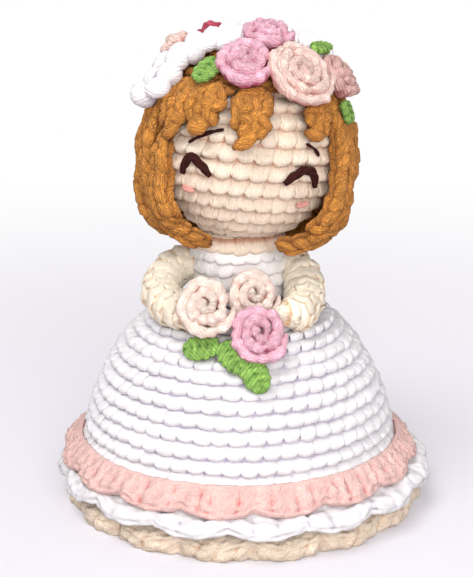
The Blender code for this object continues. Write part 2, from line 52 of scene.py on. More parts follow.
# Painted shade: the colour the white cotton takes in its recesses and between its stitches.
white_painted_shade = (0.44, 0.40, 0.50)


def add_node(tree, kind, inputs=(), **settings):
    """A node in a tree, with its settings, and each input given a plain value or linked to another node's output."""
    node = tree.nodes.new(kind)
    for label, value in settings.items():
        setattr(node, label, value)
    for socket, value in dict(inputs).items():
        if isinstance(value, bpy.types.NodeSocket):
            tree.links.new(value, node.inputs[socket])
        else:
            node.inputs[socket].default_value = value
    return node


def cotton(name, colour, shade_colour, plies=6.0, twist=0.9, depth=0.6, fleck=0.10, stray=1.5, shade_fall=1.9,
           sheen=0.06):
    """Plied cotton: twisted plies and fine fibres along each stitch, painted shade in its recesses, no two stitches the
    same.
    """
    material = bpy.data.materials.new(name)
    material.use_nodes = True
    tree = material.node_tree
    shader = tree.nodes["Principled BSDF"]
    for label, value in (
        ("Roughness", 0.85), ("Specular IOR Level", 0.15), ("Sheen Weight", sheen), ("Sheen Roughness", 0.6)
    ):
        shader.inputs[label].default_value = value

    def math_node(operation, *values):
        return add_node(tree, "ShaderNodeMath", enumerate(values), operation=operation).outputs[0]

    def mix(share, one, other, blend="MIX"):
        sockets = {0: share, 6: one, 7: other}
        return add_node(tree, "ShaderNodeMix", sockets, data_type="RGBA", blend_type=blend).outputs[2]

    def attribute(of_name):
        return add_node(tree, "ShaderNodeAttribute", attribute_name=of_name).outputs["Fac"]

    def cloud(vector, scale, detail=2.0):
        sockets = {"Vector": vector, "Scale": scale, "Detail": detail}
        return add_node(tree, "ShaderNodeTexNoise", sockets).outputs["Fac"]

    uv = add_node(tree, "ShaderNodeUVMap", uv_map="UVMap")
    along, around = add_node(tree, "ShaderNodeSeparateXYZ", {0: uv.outputs["UV"]}).outputs[:2]
    where = add_node(tree, "ShaderNodeTexCoord").outputs["Object"]
    tint, painted_shade = attribute("tint"), attribute("painted_shade")
    phase = math_node("MULTIPLY_ADD", around, 2.0 * plies, math_node("MULTIPLY", along, twist))
    phase = math_node("MULTIPLY_ADD", cloud(where, 520.0), stray, phase)
    ply = math_node("ABSOLUTE", math_node("SINE", math_node("MULTIPLY", phase, math.pi)))
    ply = math_node("POWER", ply, 0.7)
    streak_at = add_node(tree, "ShaderNodeCombineXYZ", {
        0: math_node("MULTIPLY", phase, 2.2), 1: math_node("MULTIPLY", along, 0.55),
        2: math_node("MULTIPLY", tint, 31.0),
    })
    streak = cloud(streak_at.outputs[0], 1.0, 3.0)
    fuzz = cloud(where, 2100.0, 3.0)
    patch = cloud(where, 230.0)
    shade = math_node("MULTIPLY_ADD", tint, 0.08, 0.96)
    for value, strength in ((ply, 0.7 * fleck), (streak, 2.2 * fleck), (fuzz, 2.6 * fleck), (patch, 1.6 * fleck)):
        swing = math_node("MULTIPLY_ADD", value, strength, 1.0 - 0.55 * strength)
        shade = math_node("MULTIPLY", shade, swing)
    grey = add_node(tree, "ShaderNodeCombineColor", {0: shade, 1: shade, 2: shade}).outputs[0]
    # Painted shade: the yarn's colour turns towards its shade colour as a point's mark rises, sharper with a higher
    # power.
    yarn = mix(math_node("POWER", painted_shade, shade_fall), (*colour, 1.0), (*shade_colour, 1.0))
    tree.links.new(mix(1.0, yarn, grey, "MULTIPLY"), shader.inputs["Base Color"])
    rise = math_node("MULTIPLY_ADD", streak, 0.9, math_node("MULTIPLY", ply, 0.7))
    rise = math_node("MULTIPLY_ADD", fuzz, 0.5, rise)
    bump = add_node(tree, "ShaderNodeBump", {"Strength": depth, "Distance": 0.0005, "Height": rise})
    tree.links.new(bump.outputs["Normal"], shader.inputs["Normal"])
    return material


def new_surface():
    """An empty surface, with a UV map for the run of its yarn and a mark for how much painted shade each point gets,
    the more the lower it lies.
    """
    work = bmesh.new()
    return work, work.loops.layers.uv.new("UVMap"), work.verts.layers.float.new("painted_shade")


def finished_mesh(name, work):
    """A surface as a plain smooth mesh, its faces outwards."""
    bmesh.ops.recalc_face_normals(work, faces=work.faces)
    mesh = bpy.data.meshes.new(name)
    work.to_mesh(mesh)
    work.free()
    mesh.shade_smooth()
    return mesh


def block_stitch(name, length=0.0045):
    """A single crochet from its right side: two legs drawn into one plump block, wide at its foot.

    Its head goes under the row above, its foot hangs over the row below, and a slit parts it from its neighbour.
    Levels are (up, out, half width), and columns (side, drop at the foot, drop at the head).
    """
    levels = (
        (0.70, -0.80, 0.50), (0.48, -0.28, 0.54), (0.24, 0.26, 0.545), (0.0, 0.70, 0.54), (-0.20, 1.0, 0.525),
        (-0.40, 0.95, 0.485), (-0.56, 0.35, 0.43), (-0.50, -0.80, 0.42),
    )
    columns = (
        (-1.0, 1.0, 0.24), (-0.86, 0.34, 0.10), (-0.48, 0.0, 0.0), (0.0, 0.06, 0.04), (0.48, 0.0, 0.0),
        (0.86, 0.34, 0.10), (1.0, 1.0, 0.24),
    )
    work, uv, painted_shade = new_surface()
    grid = []
    for up, out, half in levels:
        line = []
        low = min(1, max(0, -4.0 * up - 0.55))
        for side, low_drop, high_drop in columns:
            z = out - (low_drop * low + high_drop * (1 - low))
            place = (side * half + 0.05 * up, up + 0.03 * side + 0.09 * side**2 * low, max(z, -0.9))
            line.append(work.verts.new(place))
            # Painted shade: the lower a point of the stitch lies, the darker its yarn, most under the row above.
            line[-1][painted_shade] = min(1, max(0, (0.46 - z) / 1.0))
        grid.append(line)
    for i in range(len(levels) - 1):
        for k in range(len(columns) - 1):
            corners = ((i, k), (i + 1, k), (i + 1, k + 1), (i, k + 1))
            face = work.faces.new([grid[a][b] for a, b in corners])
            for loop, (a, b) in zip(face.loops, corners):
                loop[uv].uv = ((0.70 - levels[a][0]) * length * 1000, 0.5 * abs(columns[b][0]))
    rim = grid[0] + [line[-1] for line in grid[1:]] + grid[-1][-2::-1] + [line[0] for line in grid[-2:0:-1]]
    for edge in work.faces.new(rim).edges:
        edge.smooth = False
    return bpy.data.objects.new(name, finished_mesh(name, work))


def sewing_tree():
    """Sets a stitch on every seat of a lining: turned to its row, sized to its seat, none quite like the next."""
    tree = bpy.data.node_groups.new("sewing", "GeometryNodeTree")
    face = tree.interface
    face.new_socket("Geometry", in_out="INPUT", socket_type="NodeSocketGeometry")
    for label, kind, value in (
        ("Stitch", "NodeSocketObject", None), ("Yarn", "NodeSocketMaterial", None),
        ("Size spread", "NodeSocketFloat", 0.05), ("Turn spread", "NodeSocketFloat", 0.08),
        ("Seed", "NodeSocketInt", 1),
    ):
        socket = face.new_socket(label, in_out="INPUT", socket_type=kind)
        if value is not None:
            socket.default_value = value
    face.new_socket("Geometry", in_out="OUTPUT", socket_type="NodeSocketGeometry")
    given = add_node(tree, "NodeGroupInput").outputs

    def named(of_name, kind="FLOAT_VECTOR"):
        node = add_node(tree, "GeometryNodeInputNamedAttribute", {"Name": of_name}, data_type=kind)
        return node.outputs["Attribute"]

    def scatter(low, high, step, kind="FLOAT_VECTOR"):
        first = 0 if kind == "FLOAT_VECTOR" else 2
        seed = add_node(tree, "ShaderNodeMath", {0: given["Seed"], 1: step}).outputs[0]
        node = add_node(tree, "FunctionNodeRandomValue", {first: low, first + 1: high, "Seed": seed}, data_type=kind)
        return node.outputs[first // 2]

    def vector(operation, one, other):
        sockets = {0: one, "Scale" if operation == "SCALE" else 1: other}
        return add_node(tree, "ShaderNodeVectorMath", sockets, operation=operation).outputs[0]

    seats = {"Geometry": given["Geometry"], "Selection": named("seat", "BOOLEAN")}
    parted = add_node(tree, "GeometryNodeSeparateGeometry", seats).outputs
    stitch = add_node(tree, "GeometryNodeObjectInfo", {"Object": given["Stitch"]})
    align = "FunctionNodeAlignRotationToVector"
    upright = add_node(tree, align, {"Vector": named("outwards")}, axis="Z")
    wander = vector("SCALE", scatter((-1, -1, -1), (1, 1, 1), 1), given["Turn spread"])
    run = {"Rotation": upright.outputs[0], "Vector": vector("ADD", named("along"), wander)}
    along = add_node(tree, align, run, axis="X", pivot_axis="Z")
    size = named("size")
    spread = vector("SCALE", scatter((-1, -1, -1), (1, 1, 1), 2), given["Size spread"])
    size = vector("ADD", size, vector("MULTIPLY", size, spread))
    placed = add_node(tree, "GeometryNodeInstanceOnPoints", {
        "Points": parted["Selection"], "Instance": stitch.outputs["Geometry"],
        "Rotation": along.outputs[0], "Scale": size,
    })
    marks = {"Name": "tint", "Geometry": placed.outputs[0], "Value": scatter(0.0, 1.0, 3, "FLOAT")}
    tint = add_node(tree, "GeometryNodeStoreNamedAttribute", marks, domain="INSTANCE", data_type="FLOAT")
    real = add_node(tree, "GeometryNodeRealizeInstances", {0: tint.outputs[0]})
    joined = add_node(tree, "GeometryNodeJoinGeometry", {0: real.outputs[0]})
    tree.links.new(parted["Inverted"], joined.inputs[0])
    yarn = add_node(tree, "GeometryNodeSetMaterial", {"Geometry": joined.outputs[0], "Material": given["Yarn"]})
    add_node(tree, "NodeGroupOutput", {0: yarn.outputs[0]})
    return tree


sewing = sewing_tree()
noise_seed = 5
noise.seed_set(noise_seed)  # noise_vector takes its offsets from the clock where no seed is set


def seat(place, along, outwards, size):
    """Where one stitch goes: its place, the way its row runs, the way it faces, and its size."""
    return Vector(place), Vector(along).normalized(), Vector(outwards).normalized(), Vector(size)


def pressed(mesh, rest):
    """Moves a mesh's points by a rule for all of them at once."""
    co = np.empty(len(mesh.vertices) * 3, np.float32)
    mesh.vertices.foreach_get("co", co)
    mesh.vertices.foreach_set("co", rest(co.reshape(-1, 3).astype(float)).astype(np.float32).ravel())
    mesh.update()


def crochet(name, lining, seats, stitch, yarn, seed, size_spread=0.06, turn_spread=0.05, place=None, rest=None,
            depth=1.0, soft=0.0003):
    """Makes one crocheted piece: a lining (points and faces) with a stitch on each seat, as one plain mesh. The depth
    given is painted shade on the lining, which shows dark between the stitches.
    """
    points = [Vector(point) for point in lining[0]] + [s[0] for s in seats]
    if place is not None:
        points = [place @ point for point in points]
    mesh = bpy.data.meshes.new(name)
    mesh.from_pydata(points, [], lining[1])
    mesh.shade_smooth()
    bare = len(lining[0])
    turn = place.to_3x3() if place is not None else Matrix.Identity(3)
    # Painted shade: the lining's points carry the depth as their shade mark, so the lining shows dark where it is seen
    # between stitches.
    for label, kind, values in (
        ("seat", "BOOLEAN", [False] * bare + [True] * len(seats)),
        ("painted_shade", "FLOAT", [depth] * bare + [0.0] * len(seats)),
    ):
        mesh.attributes.new(label, kind, "POINT").data.foreach_set("value", values)
    for i, label in ((1, "along"), (2, "outwards"), (3, "size")):
        flat = [0.0] * 3 * bare
        for s in seats:
            flat += list(turn @ s[i] if i < 3 else s[i])
        mesh.attributes.new(label, "FLOAT_VECTOR", "POINT").data.foreach_set("vector", flat)
    rough = bpy.data.objects.new(name + "_rough", mesh)
    scene = bpy.context.scene.collection
    scene.objects.link(rough)
    if stitch.name not in scene.objects:
        scene.objects.link(stitch)
    sewn = rough.modifiers.new("sewing", "NODES")
    sewn.node_group = sewing
    inputs = {s.name: s.identifier for s in sewing.interface.items_tree if s.in_out == "INPUT"}
    for label, value in (
        ("Stitch", stitch), ("Yarn", yarn), ("Size spread", size_spread), ("Turn spread", turn_spread),
        ("Seed", seed),
    ):
        sewn[inputs[label]] = value
    bpy.context.view_layer.update()
    graph = bpy.context.evaluated_depsgraph_get()
    made = bpy.data.meshes.new_from_object(rough.evaluated_get(graph))
    bpy.data.objects.remove(rough)
    scene.objects.unlink(stitch)
    made.name = name
    lumps, fibres = 190, 640  # how many there are in a metre
    for vertex in made.vertices:
        sway = noise.noise_vector(vertex.co * lumps) * soft * 1.2
        vertex.co += sway + noise.noise_vector(vertex.co * fibres) * soft * 0.9
    if rest is not None:
        pressed(made, rest)
    for label in ("seat", "along", "outwards", "size"):
        if label in made.attributes:
            made.attributes.remove(made.attributes[label])
    piece = bpy.data.objects.new(name, made)
    scene.objects.link(piece)
    return piece


def turned_lining(outline, steps=64, closed=False):
    """Points and faces of an outline turned about Z, outline given top to bottom, faces outwards."""
    points, faces = [], []
    for across, up in outline:
        for k in range(steps):
            turn = 2 * math.pi * k / steps
            points.append((across * math.cos(turn), across * math.sin(turn), up))
    last = len(outline) if closed else len(outline) - 1
    for i in range(last):
        j = (i + 1) % len(outline)
        for k in range(steps):
            m = (k + 1) % steps
            faces.append((i * steps + k, j * steps + k, j * steps + m, i * steps + m))
    return points, faces


def flat_foot(co):
    """Nothing reaches lower than the table that the doll stands on."""
    co[:, 2] = np.maximum(co[:, 2], 0.0)
    return co


white_cotton = cotton("white_cotton", white, white_painted_shade, depth=0.6, fleck=0.06)
block = block_stitch("block")
disc_lining = turned_lining([
    (0.0, disc_top), (disc_radius, disc_top), (disc_radius + 0.0004, 0.0014), (disc_radius, disc_underside),
    (0.0, disc_underside),
])
disc_seats = []
for row in range(disc_rows):
    radius = disc_row * (row + 0.65)
    stitches = 6 * (row + 1)
    for k in range(stitches):
        turn = 2 * math.pi * (k + 0.3 * row) / stitches
        out = Vector((math.cos(turn), math.sin(turn), 0))
        along = out.cross(Vector((0, 0, -1)))
        place = out * radius + Vector((0, 0, 0.0013))
        size = (2 * math.pi * radius / stitches, disc_row, disc_stitch)
        disc_seats.append(seat(place, along, (0, 0, -1), size))
base = crochet("base", disc_lining, disc_seats, block, white_cotton, 11, rest=flat_foot)
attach(base, "body")
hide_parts("base_disc")

card = bpy.data.materials.new("card")
card.use_nodes = True
card_shader = card.node_tree.nodes["Principled BSDF"]
card_shader.inputs["Roughness"].default_value = 0.85
card_where = add_node(card.node_tree, "ShaderNodeTexCoord").outputs["Object"]
card_grain = add_node(card.node_tree, "ShaderNodeTexNoise", {"Scale": 900.0, "Vector": card_where})
card_tone = add_node(card.node_tree, "ShaderNodeValToRGB", {"Fac": card_grain.outputs["Fac"]})
for stop, strength in zip(card_tone.color_ramp.elements, (0.85, 1.15)):
    stop.color = (*[c * strength for c in card_brown], 1)
card.node_tree.links.new(card_tone.outputs["Color"], card_shader.inputs["Base Color"])
for slot_of_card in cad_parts["base_insert"].material_slots:
    slot_of_card.material = card

# Skirt: a bell worked in rounds of single crochet in white cotton from the waist down, with more
# stitches in each round as it widens, closed by the base and filled firmly with fibre.
skirt_foot = 0.0445
skirt_top = 0.0564
waist = 0.0105
skirt_bottom = 0.0029
skirt_row = 0.00389
skirt_first_row = 0.00335
skirt_sunk = 0.0013
skirt_stitch_width = 0.0047
skirt_stitch_depth = 0.00158
skirt_most, skirt_fewest = 60, 12
bell_shares = (
    (0.00, 1.000), (0.11, 0.991), (0.268, 0.960), (0.416, 0.911), (0.545, 0.845), (0.655, 0.767),
    (0.75, 0.670), (0.83, 0.565), (0.897, 0.459), (0.957, 0.321), (1.00, 0.160), (1.00, 0.0),
)
bell = [(waist + a * (skirt_foot - waist), skirt_bottom + b * (skirt_top - skirt_bottom)) for a, b in bell_shares]


def rounds(outline, sunk, first, row, count_of, depth, shift=0.2):
    """Seats in rounds on a turned outline, top to bottom: rows from a first row's middle, a row's height apart."""
    seats = []
    lengths = [0.0]
    for (a, b), (c, d) in zip(outline, outline[1:]):
        lengths.append(lengths[-1] + math.hypot(c - a, d - b))
    number = 0
    at = first
    while at < lengths[-1]:
        i = max(k for k in range(len(lengths) - 1) if lengths[k] <= at)
        share = (at - lengths[i]) / (lengths[i + 1] - lengths[i])
        (a, b), (c, d) = outline[i], outline[i + 1]
        radius, height = a + share * (c - a), b + share * (d - b)
        run = Vector((c - a, 0, d - b)).normalized()
        facing = Vector((-run.z, 0, run.x))
        count = count_of(radius)
        wide = 2 * math.pi * radius / count
        for k in range(count):
            turn = 2 * math.pi * (k + shift * number) / count - math.pi / 2
            spin = Matrix.Rotation(turn, 3, "Z")
            place = spin @ (Vector((radius, 0, height)) - facing * sunk)
            along = spin @ Vector((0, 1, 0))
            seats.append(seat(place, along, spin @ facing, (wide, row, depth)))
        number += 1
        at += row
    return seats


def drawn_in(outline, distance):
    """An outline moved inwards by a distance."""
    moved = []
    for i, (across, up) in enumerate(outline):
        a, b = outline[max(i - 1, 0)], outline[min(i + 1, len(outline) - 1)]
        run = Vector((b[0] - a[0], b[1] - a[1])).normalized()
        moved.append((max(across + run.y * distance, 0), up - run.x * distance))
    return moved


def bell_height(radius):
    """Height of the skirt's outside at a distance from its axis."""
    return np.interp(radius, [a for a, b in bell[:-1]], [b for a, b in bell[:-1]])


def skirt_count(radius):
    """How many stitches a round of the skirt has."""
    return min(skirt_most, max(skirt_fewest, round(2 * math.pi * radius / skirt_stitch_width)))


skirt_seats = rounds(bell, skirt_sunk, skirt_first_row, skirt_row, skirt_count, skirt_stitch_depth, shift=-0.2)
skirt_lining = turned_lining([(0.0, skirt_top - 0.002)] + drawn_in(bell, 0.0016))
skirt = crochet("bell_skirt", skirt_lining, skirt_seats, block, white_cotton, 12, 0.07, 0.07)
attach(skirt, "body")
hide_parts("skirt", "skirt_stuffing")

# Frills: a pink one, a white one and a cream hem, each a row of shells worked on to the foot of the skirt.
# Three to five stitches make a shell, which fans out to a scalloped edge with a rounded rim.
scallops = 16
rings_per_scallop = 28
frill_root = 0.0438
scallop_depth = 0.0016
slit_width = 0.00042
swell_height = 0.00045
rim_height, chain_height, crease_depth = 0.00010, 0.00030, 0.00030
fibre_height = 0.00034
pink = (0.725, 0.485, 0.45)
# Painted shade for the pink cotton's recesses.
pink_painted_shade = (0.64, 0.17, 0.16)
cream = (0.775, 0.65, 0.52)
# Painted shade for the cream cotton's recesses.
cream_painted_shade = (0.62, 0.38, 0.22)
pink_section = ((0.0, 0.0), (0.50, 0.36), (0.93, 0.72), (1.0, 1.0), (0.72, 1.16), (0.10, 0.72))
white_section = ((0.0, 0.0), (0.40, 0.44), (0.74, 0.50), (1.0, 0.84), (0.97, 1.12), (0.64, 1.20), (0.0, 0.69))
cream_section = ((0.0, 0.0), (0.62, 0.35), (0.95, 0.62), (1.0, 1.15), (0.80, 2.03), (0.45, 2.03), (0.0, 1.5))


def frill_place(edge_radius, edge_height, root_height, first_cusp, lean, turn, out, down):
    """A point of a frill: round from its first cusp, out from its root and down to its edge."""
    puff = abs(math.sin((turn - math.radians(first_cusp) + math.pi / 2) * scallops / 2)) ** 0.8
    radius = frill_root + out * (edge_radius - frill_root) - 1.2 * scallop_depth * out * (1 - puff)
    height = root_height + down * (edge_height - root_height) + 0.9 * scallop_depth * out * (1 - puff)
    return Vector((radius * math.cos(turn) + lean * out, radius * math.sin(turn), height))


def skinned(name, rings, around, painted_shades, body, node, yarn, place=None, rest=None, looped=False):
    """A closed surface through rings of points, with its yarn's run along them and painted shade marked in its
    recesses.
    """
    work, uv, painted_shade = new_surface()
    tint = work.verts.layers.float.new("tint")
    run, grid = [0.0], []
    for i, ring in enumerate(rings):
        if i:
            run.append(run[-1] + sum(((a - b).length for a, b in zip(ring, rings[i - 1])), 0.0) / len(ring))
        line = [work.verts.new(place @ point if place is not None else point) for point in ring]
        for point, depth in zip(line, painted_shades[i]):
            point[painted_shade] = min(1, max(0, depth))
            point[tint] = 0.5 + 0.5 * math.sin(i * 0.37)
        grid.append(line)
    for i in range(len(rings) if looped else len(rings) - 1):
        j = (i + 1) % len(rings)
        for k in range(around):
            corners = ((i, k), (i, k + 1), (j, k + 1), (j, k))
            face = work.faces.new([grid[a][b % around] for a, b in corners])
            for loop, (a, b) in zip(face.loops, corners):
                if looped:
                    loop[uv].uv = (2.2 * b, a / 9 if a or not i else len(rings) / 9)
                else:
                    loop[uv].uv = ((run[i] + (run[1] if a != i else 0)) * 1000, b / around)
    if not looped:
        work.faces.new(grid[0][::-1])
        work.faces.new(grid[-1])
    mesh = finished_mesh(name, work)
    if rest is not None:
        pressed(mesh, rest)
    mesh.materials.append(yarn)
    piece = bpy.data.objects.new(name, mesh)
    bpy.context.scene.collection.objects.link(piece)
    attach(piece, body)
    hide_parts(node)
    return piece


def smoothed(a, b, c, d, t):
    """A place a share t of the way from b to c, on a smooth curve that comes from a and goes on to d."""
    return (2 * b + (c - a) * t + (2 * a - 5 * b + 4 * c - d) * t**2 + (3 * b - a - 3 * c + d) * t**3) / 2


def frill(name, section, shape, relief, yarn, seed, node):
    """A band of shells from its section and (edge radius, edge height, root height, first cusp, lean).

    Relief is (stitches a shell, depth of the slits between them, where along the section they start and end,
    where the rim lies, how far the stitches slant over each other there, height of the knots).
    """
    per_shell, slit_depth, slit_from, slit_to, rim_at, slant, knot_rise = relief
    chance = np.random.default_rng(seed)
    size, fine = len(section), []
    for k in range(size):
        near = [Vector(section[(k + j) % size]) for j in (-1, 0, 1, 2)]
        fine += [(k + j / 5, smoothed(*near, j / 5)) for j in range(5)]
    rings = scallops * rings_per_scallop
    total = scallops * per_shell
    jitter = chance.uniform(-0.22, 0.22, total)
    depths = chance.uniform(0.25, 1.0, total) ** 1.3
    turns = [2 * math.pi * i / rings for i in range(rings)]
    bare = [[frill_place(*shape, turn, out, down) for at, (out, down) in fine] for turn in turns]
    made, painted_shades = [], []
    for i, turn in enumerate(turns):
        ring, shade_marks = [], []
        counted = (turn - math.radians(shape[3]) + math.pi / 2) / (2 * math.pi) * total
        for k, (at, share) in enumerate(fine):
            here = bare[i][k]
            over = bare[i][(k + 1) % len(fine)] - bare[i][k - 1]
            ahead = bare[(i + 1) % rings][k] - bare[i - 1][k]
            out = ahead.cross(over).normalized()
            leaning = counted + slant * (at - rim_at)
            nearest = round(leaning)
            gap = (leaning - nearest - jitter[nearest % total]) * 2 * math.pi * shape[0] / total
            window = min(1, max(0, (at - slit_from) * 2)) * min(1, max(0, (slit_to - at) * 2))
            slit = math.exp(-((gap / slit_width) ** 2)) * depths[nearest % total] * window
            swell = (abs(math.cos(math.pi * (leaning % 1 - 0.5))) ** 0.7 - 0.6) * window
            rim = math.exp(-(((at - rim_at) / 0.30) ** 2))
            crease = math.exp(-(((at - rim_at + 0.62) / 0.16) ** 2))
            chain = 0.5 + 0.5 * math.cos(2 * math.pi * (leaning + 0.5 * at))
            knot = math.cos(2 * math.pi * (0.75 * at + 0.5 * (nearest % 2))) * window
            rough = noise.noise(here * 420) * 0.9 + noise.noise(here * 1150) * 0.6
            lift = swell_height * swell - slit_depth * slit + rim * (rim_height + chain_height * chain)
            lift = lift - crease_depth * crease + knot_rise * knot + fibre_height * rough
            ring.append(here - out * lift)
            # Painted shade: darker in the slits and the crease, lighter on swells, knots and fibre tops, and darkest
            # past the rim on the frill's underside.
            depth = 0.9 * slit + 0.30 * crease - 0.30 * rough - 0.1 * swell - 0.22 * knot
            shade_marks.append(depth + (0.9 if at > rim_at + 1 else 0))
        made.append(ring)
        painted_shades.append(shade_marks)
    return skinned(name, made, len(fine), painted_shades, "body", node, yarn, rest=flat_foot, looped=True)


pink_cotton = cotton("pink_cotton", pink, pink_painted_shade, plies=1.5, twist=0.12, depth=0.6, fleck=0.13, stray=4.0)
cream_cotton = cotton("cream_cotton", cream, cream_painted_shade, plies=1.5, twist=0.12, depth=0.6, fleck=0.11, stray=4.0)
frill("pink_shells", pink_section, (0.0495, 0.0124, 0.0187, 4.5, 0.0),
      (5, 0.0010, 0.3, 2.9, 3.0, 0.10, 0.00034), pink_cotton, 21, "frill_pink")
frill("white_shells", white_section, (0.0521, 0.0081, 0.0136, -5.0, 0.0014),
      (3, 0.0006, 0.6, 3.9, 4.0, 0.08, 0.0002), white_cotton, 22, "frill_white")
frill("cream_hem", cream_section, (0.0497, 0.0030, 0.0064, 2.0, 0.0014),
      (4, 0.0006, 0.6, 4.6, 3.3, 0.20, 0.00022), cream_cotton, 23, "frill_cream")

# Bodice: a white tube of single crochet worked up from the waist, filled, and closed above by two
# rounds in the skin colour that make the neck and hold the head.
bodice_radius = 0.0132
bodice_top = 0.0714
bodice_row = 0.0038
bodice_count = 19
bodice_inset = 0.0006
skin = (0.975, 0.825, 0.67)
# Painted shade: the colour the skin cotton takes in its recesses and under each row.
skin_painted_shade = (0.46, 0.18, 0.10)
tube_shares = ((0.955, 1.0), (1.0, 0.86), (1.0, 0.60), (0.985, 0.35), (0.97, 0.15), (0.955, 0.0))
tube = [(a * bodice_radius, skirt_top + b * (bodice_top - skirt_top)) for a, b in tube_shares]
# Painted light: the bodice's white is lighter than the skirt's to lift the head's shadow on it, and its painted shade
# is near white.
bodice_white_painted_lighter = (0.98, 0.96, 0.955)
bodice_painted_shade = (0.90, 0.85, 0.86)
bodice_cotton = cotton("bodice_cotton", bodice_white_painted_lighter, bodice_painted_shade, depth=0.6, fleck=0.05)
bodice_seats = rounds(tube, 0.0005, bodice_row / 2, bodice_row, lambda radius: bodice_count, 0.00055, shift=0.15)
bodice_outline = [(0.0, bodice_top - bodice_inset)] + drawn_in(tube, bodice_inset) + [(0.0, skirt_top + 0.0004)]
bodice_lining = turned_lining(bodice_outline, 48)
bodice = crochet("white_bodice", bodice_lining, bodice_seats, block, bodice_cotton, 31, depth=0.22)
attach(bodice, "body")
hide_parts("bodice", "bodice_stuffing")

skin_cotton = cotton("skin_cotton", skin, skin_painted_shade, depth=0.7, fleck=0.13, stray=3.0, shade_fall=1.5)
neck_count = 18
neck_hole = 0.0070
collar = [(0.0101, 0.0758), (0.0108, 0.0738), (0.0118, 0.0727), (0.0131, 0.0720), (0.0132, 0.0706)]
neck_seats = rounds(collar, 0.0008, 0.0017, 0.0035, lambda radius: neck_count, 0.00090, shift=0.2)
neck_outline = [(neck_hole, 0.0752)] + drawn_in(collar, 0.0014) + [(neck_hole, bodice_top)]
neck_lining = turned_lining(neck_outline, 48, closed=True)
neck = crochet("neck_rounds", neck_lining, neck_seats, block, skin_cotton, 32, depth=0.5)
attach(neck, "body")
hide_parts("neck")

# Head: a firmly filled ball in the skin colour, worked in rounds from the crown down to the neck.
# It leans and turns a little on the neck.
head_radius = 0.0246
head_row_angle = 10.9
head_first_polar = 9.4
head_lean = 5.5
head_yaw = 3.0
head_pivot = 0.0725
head_rise = 0.0244
head_opening_polar = 164
head_most, head_full_from = 32, 0.0215
on_neck = (
    Matrix.Translation((0, 0, head_pivot)) @ Matrix.Rotation(math.radians(head_lean), 4, "Y")
    @ Matrix.Rotation(math.radians(head_yaw), 4, "Z") @ Matrix.Translation((0, 0, head_rise))
)


def on_head(azimuth, polar, distance):
    """A point at a distance from the middle of the head: azimuth from the face towards +X, polar from the crown."""
    turn, down = math.radians(azimuth), math.radians(polar)
    return Vector((math.sin(down) * math.sin(turn), -math.sin(down) * math.cos(turn), math.cos(down))) * distance


def ball(radius, first, last, count):
    """An outline on a ball, from one polar angle to another."""
    angles = [math.radians(first + (last - first) * i / (count - 1)) for i in range(count)]
    return [(radius * math.sin(angle), radius * math.cos(angle)) for angle in angles]


def head_count(radius):
    """How many stitches a round of the head has."""
    return head_most if radius > head_full_from else max(6, round(2 * math.pi * radius / skirt_stitch_width))


head_row = head_radius * math.radians(head_row_angle)
head_first_row = head_radius * math.radians(head_first_polar)
head_outline = ball(head_radius, 0, head_opening_polar, 80)
head_seats = rounds(head_outline, 0.0014, head_first_row, head_row, head_count, 0.00185, shift=-0.2)
head_lining = turned_lining(ball(head_radius - 0.0016, 0, head_opening_polar, 24), 48)
head = crochet("head_ball", head_lining, head_seats, block, skin_cotton, 41, 0.07, 0.07, place=on_neck, depth=0.8)
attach(head, "head")
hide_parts("head", "head_stuffing")

# Hair: a round cap on the crown, seventeen thick cords sewn along its edge that hang round the sides and the
# back, and five short ones over the forehead. Golden brown cotton, in columns of plump stitches.
cap_inside = 0.0249
cap_outside = 0.0275
cap_edge = 48.0
cord_thickness = 0.0047
cord_fullness = 0.0040
cord_start = 50.5
cord_count = 17
cord_first = 58.0
cap_stitch_width = 0.0046
cap_row = 0.0042
hair = (0.62, 0.257, 0.047)
# Painted shade: the colour the hair cotton takes between and under its lumps.
hair_painted_shade = (0.17, 0.040, 0.004)
lump_length = 0.0038
hair_cotton = cotton("hair_cotton", hair, hair_painted_shade, plies=7.0, twist=1.2, depth=1.0, fleck=0.30, stray=5.0,
                     shade_fall=1.0)


def yarn_lobe(name, route, girths, length, sides, rib=0.0):
    """A stitch in its own cell, one long: a plump length of yarn along a route, with its girths across and up.

    The UV runs along the yarn in millimetres and once round it, and painted shade is marked the more, the lower a point
    lies.
    """
    work, uv, painted_shade = new_surface()
    points = [Vector(point) for point in route]
    rings = []
    for i, point in enumerate(points):
        ahead = points[min(i + 1, len(points) - 1)] - points[max(i - 1, 0)]
        side = ahead.cross(Vector((0, 0, 1))).normalized()
        up = side.cross(ahead).normalized()
        ring = []
        for k in range(sides):
            around = 2 * math.pi * (k + 0.5) / sides
            full = 1 + rib * math.cos(sides * around / 2)
            place = point + (side * girths[i][0] * math.cos(around) + up * girths[i][1] * math.sin(around)) * full
            ring.append(work.verts.new(place))
            # Painted shade: the lower a point lies in the lump, the darker its yarn.
            ring[-1][painted_shade] = min(1, max(0, (0.50 - place.z) / 0.8))
        rings.append(ring)
    for i in range(len(rings) - 1):
        for k in range(sides):
            corners = ((i, k), (i, k + 1), (i + 1, k + 1), (i + 1, k))
            face = work.faces.new([rings[a][b % sides] for a, b in corners])
            for loop, (a, b) in zip(face.loops, corners):
                loop[uv].uv = (length * 1000 * a / (len(rings) - 1), b / sides)
    work.faces.new(rings[0])
    work.faces.new(rings[-1])
    return bpy.data.objects.new(name, finished_mesh(name, work))


def path_lengths(points):
    """How far along a path each of its points lies."""
    lengths = [0.0]
    for one, other in zip(points, points[1:]):
        lengths.append(lengths[-1] + (other - one).length)
    return lengths


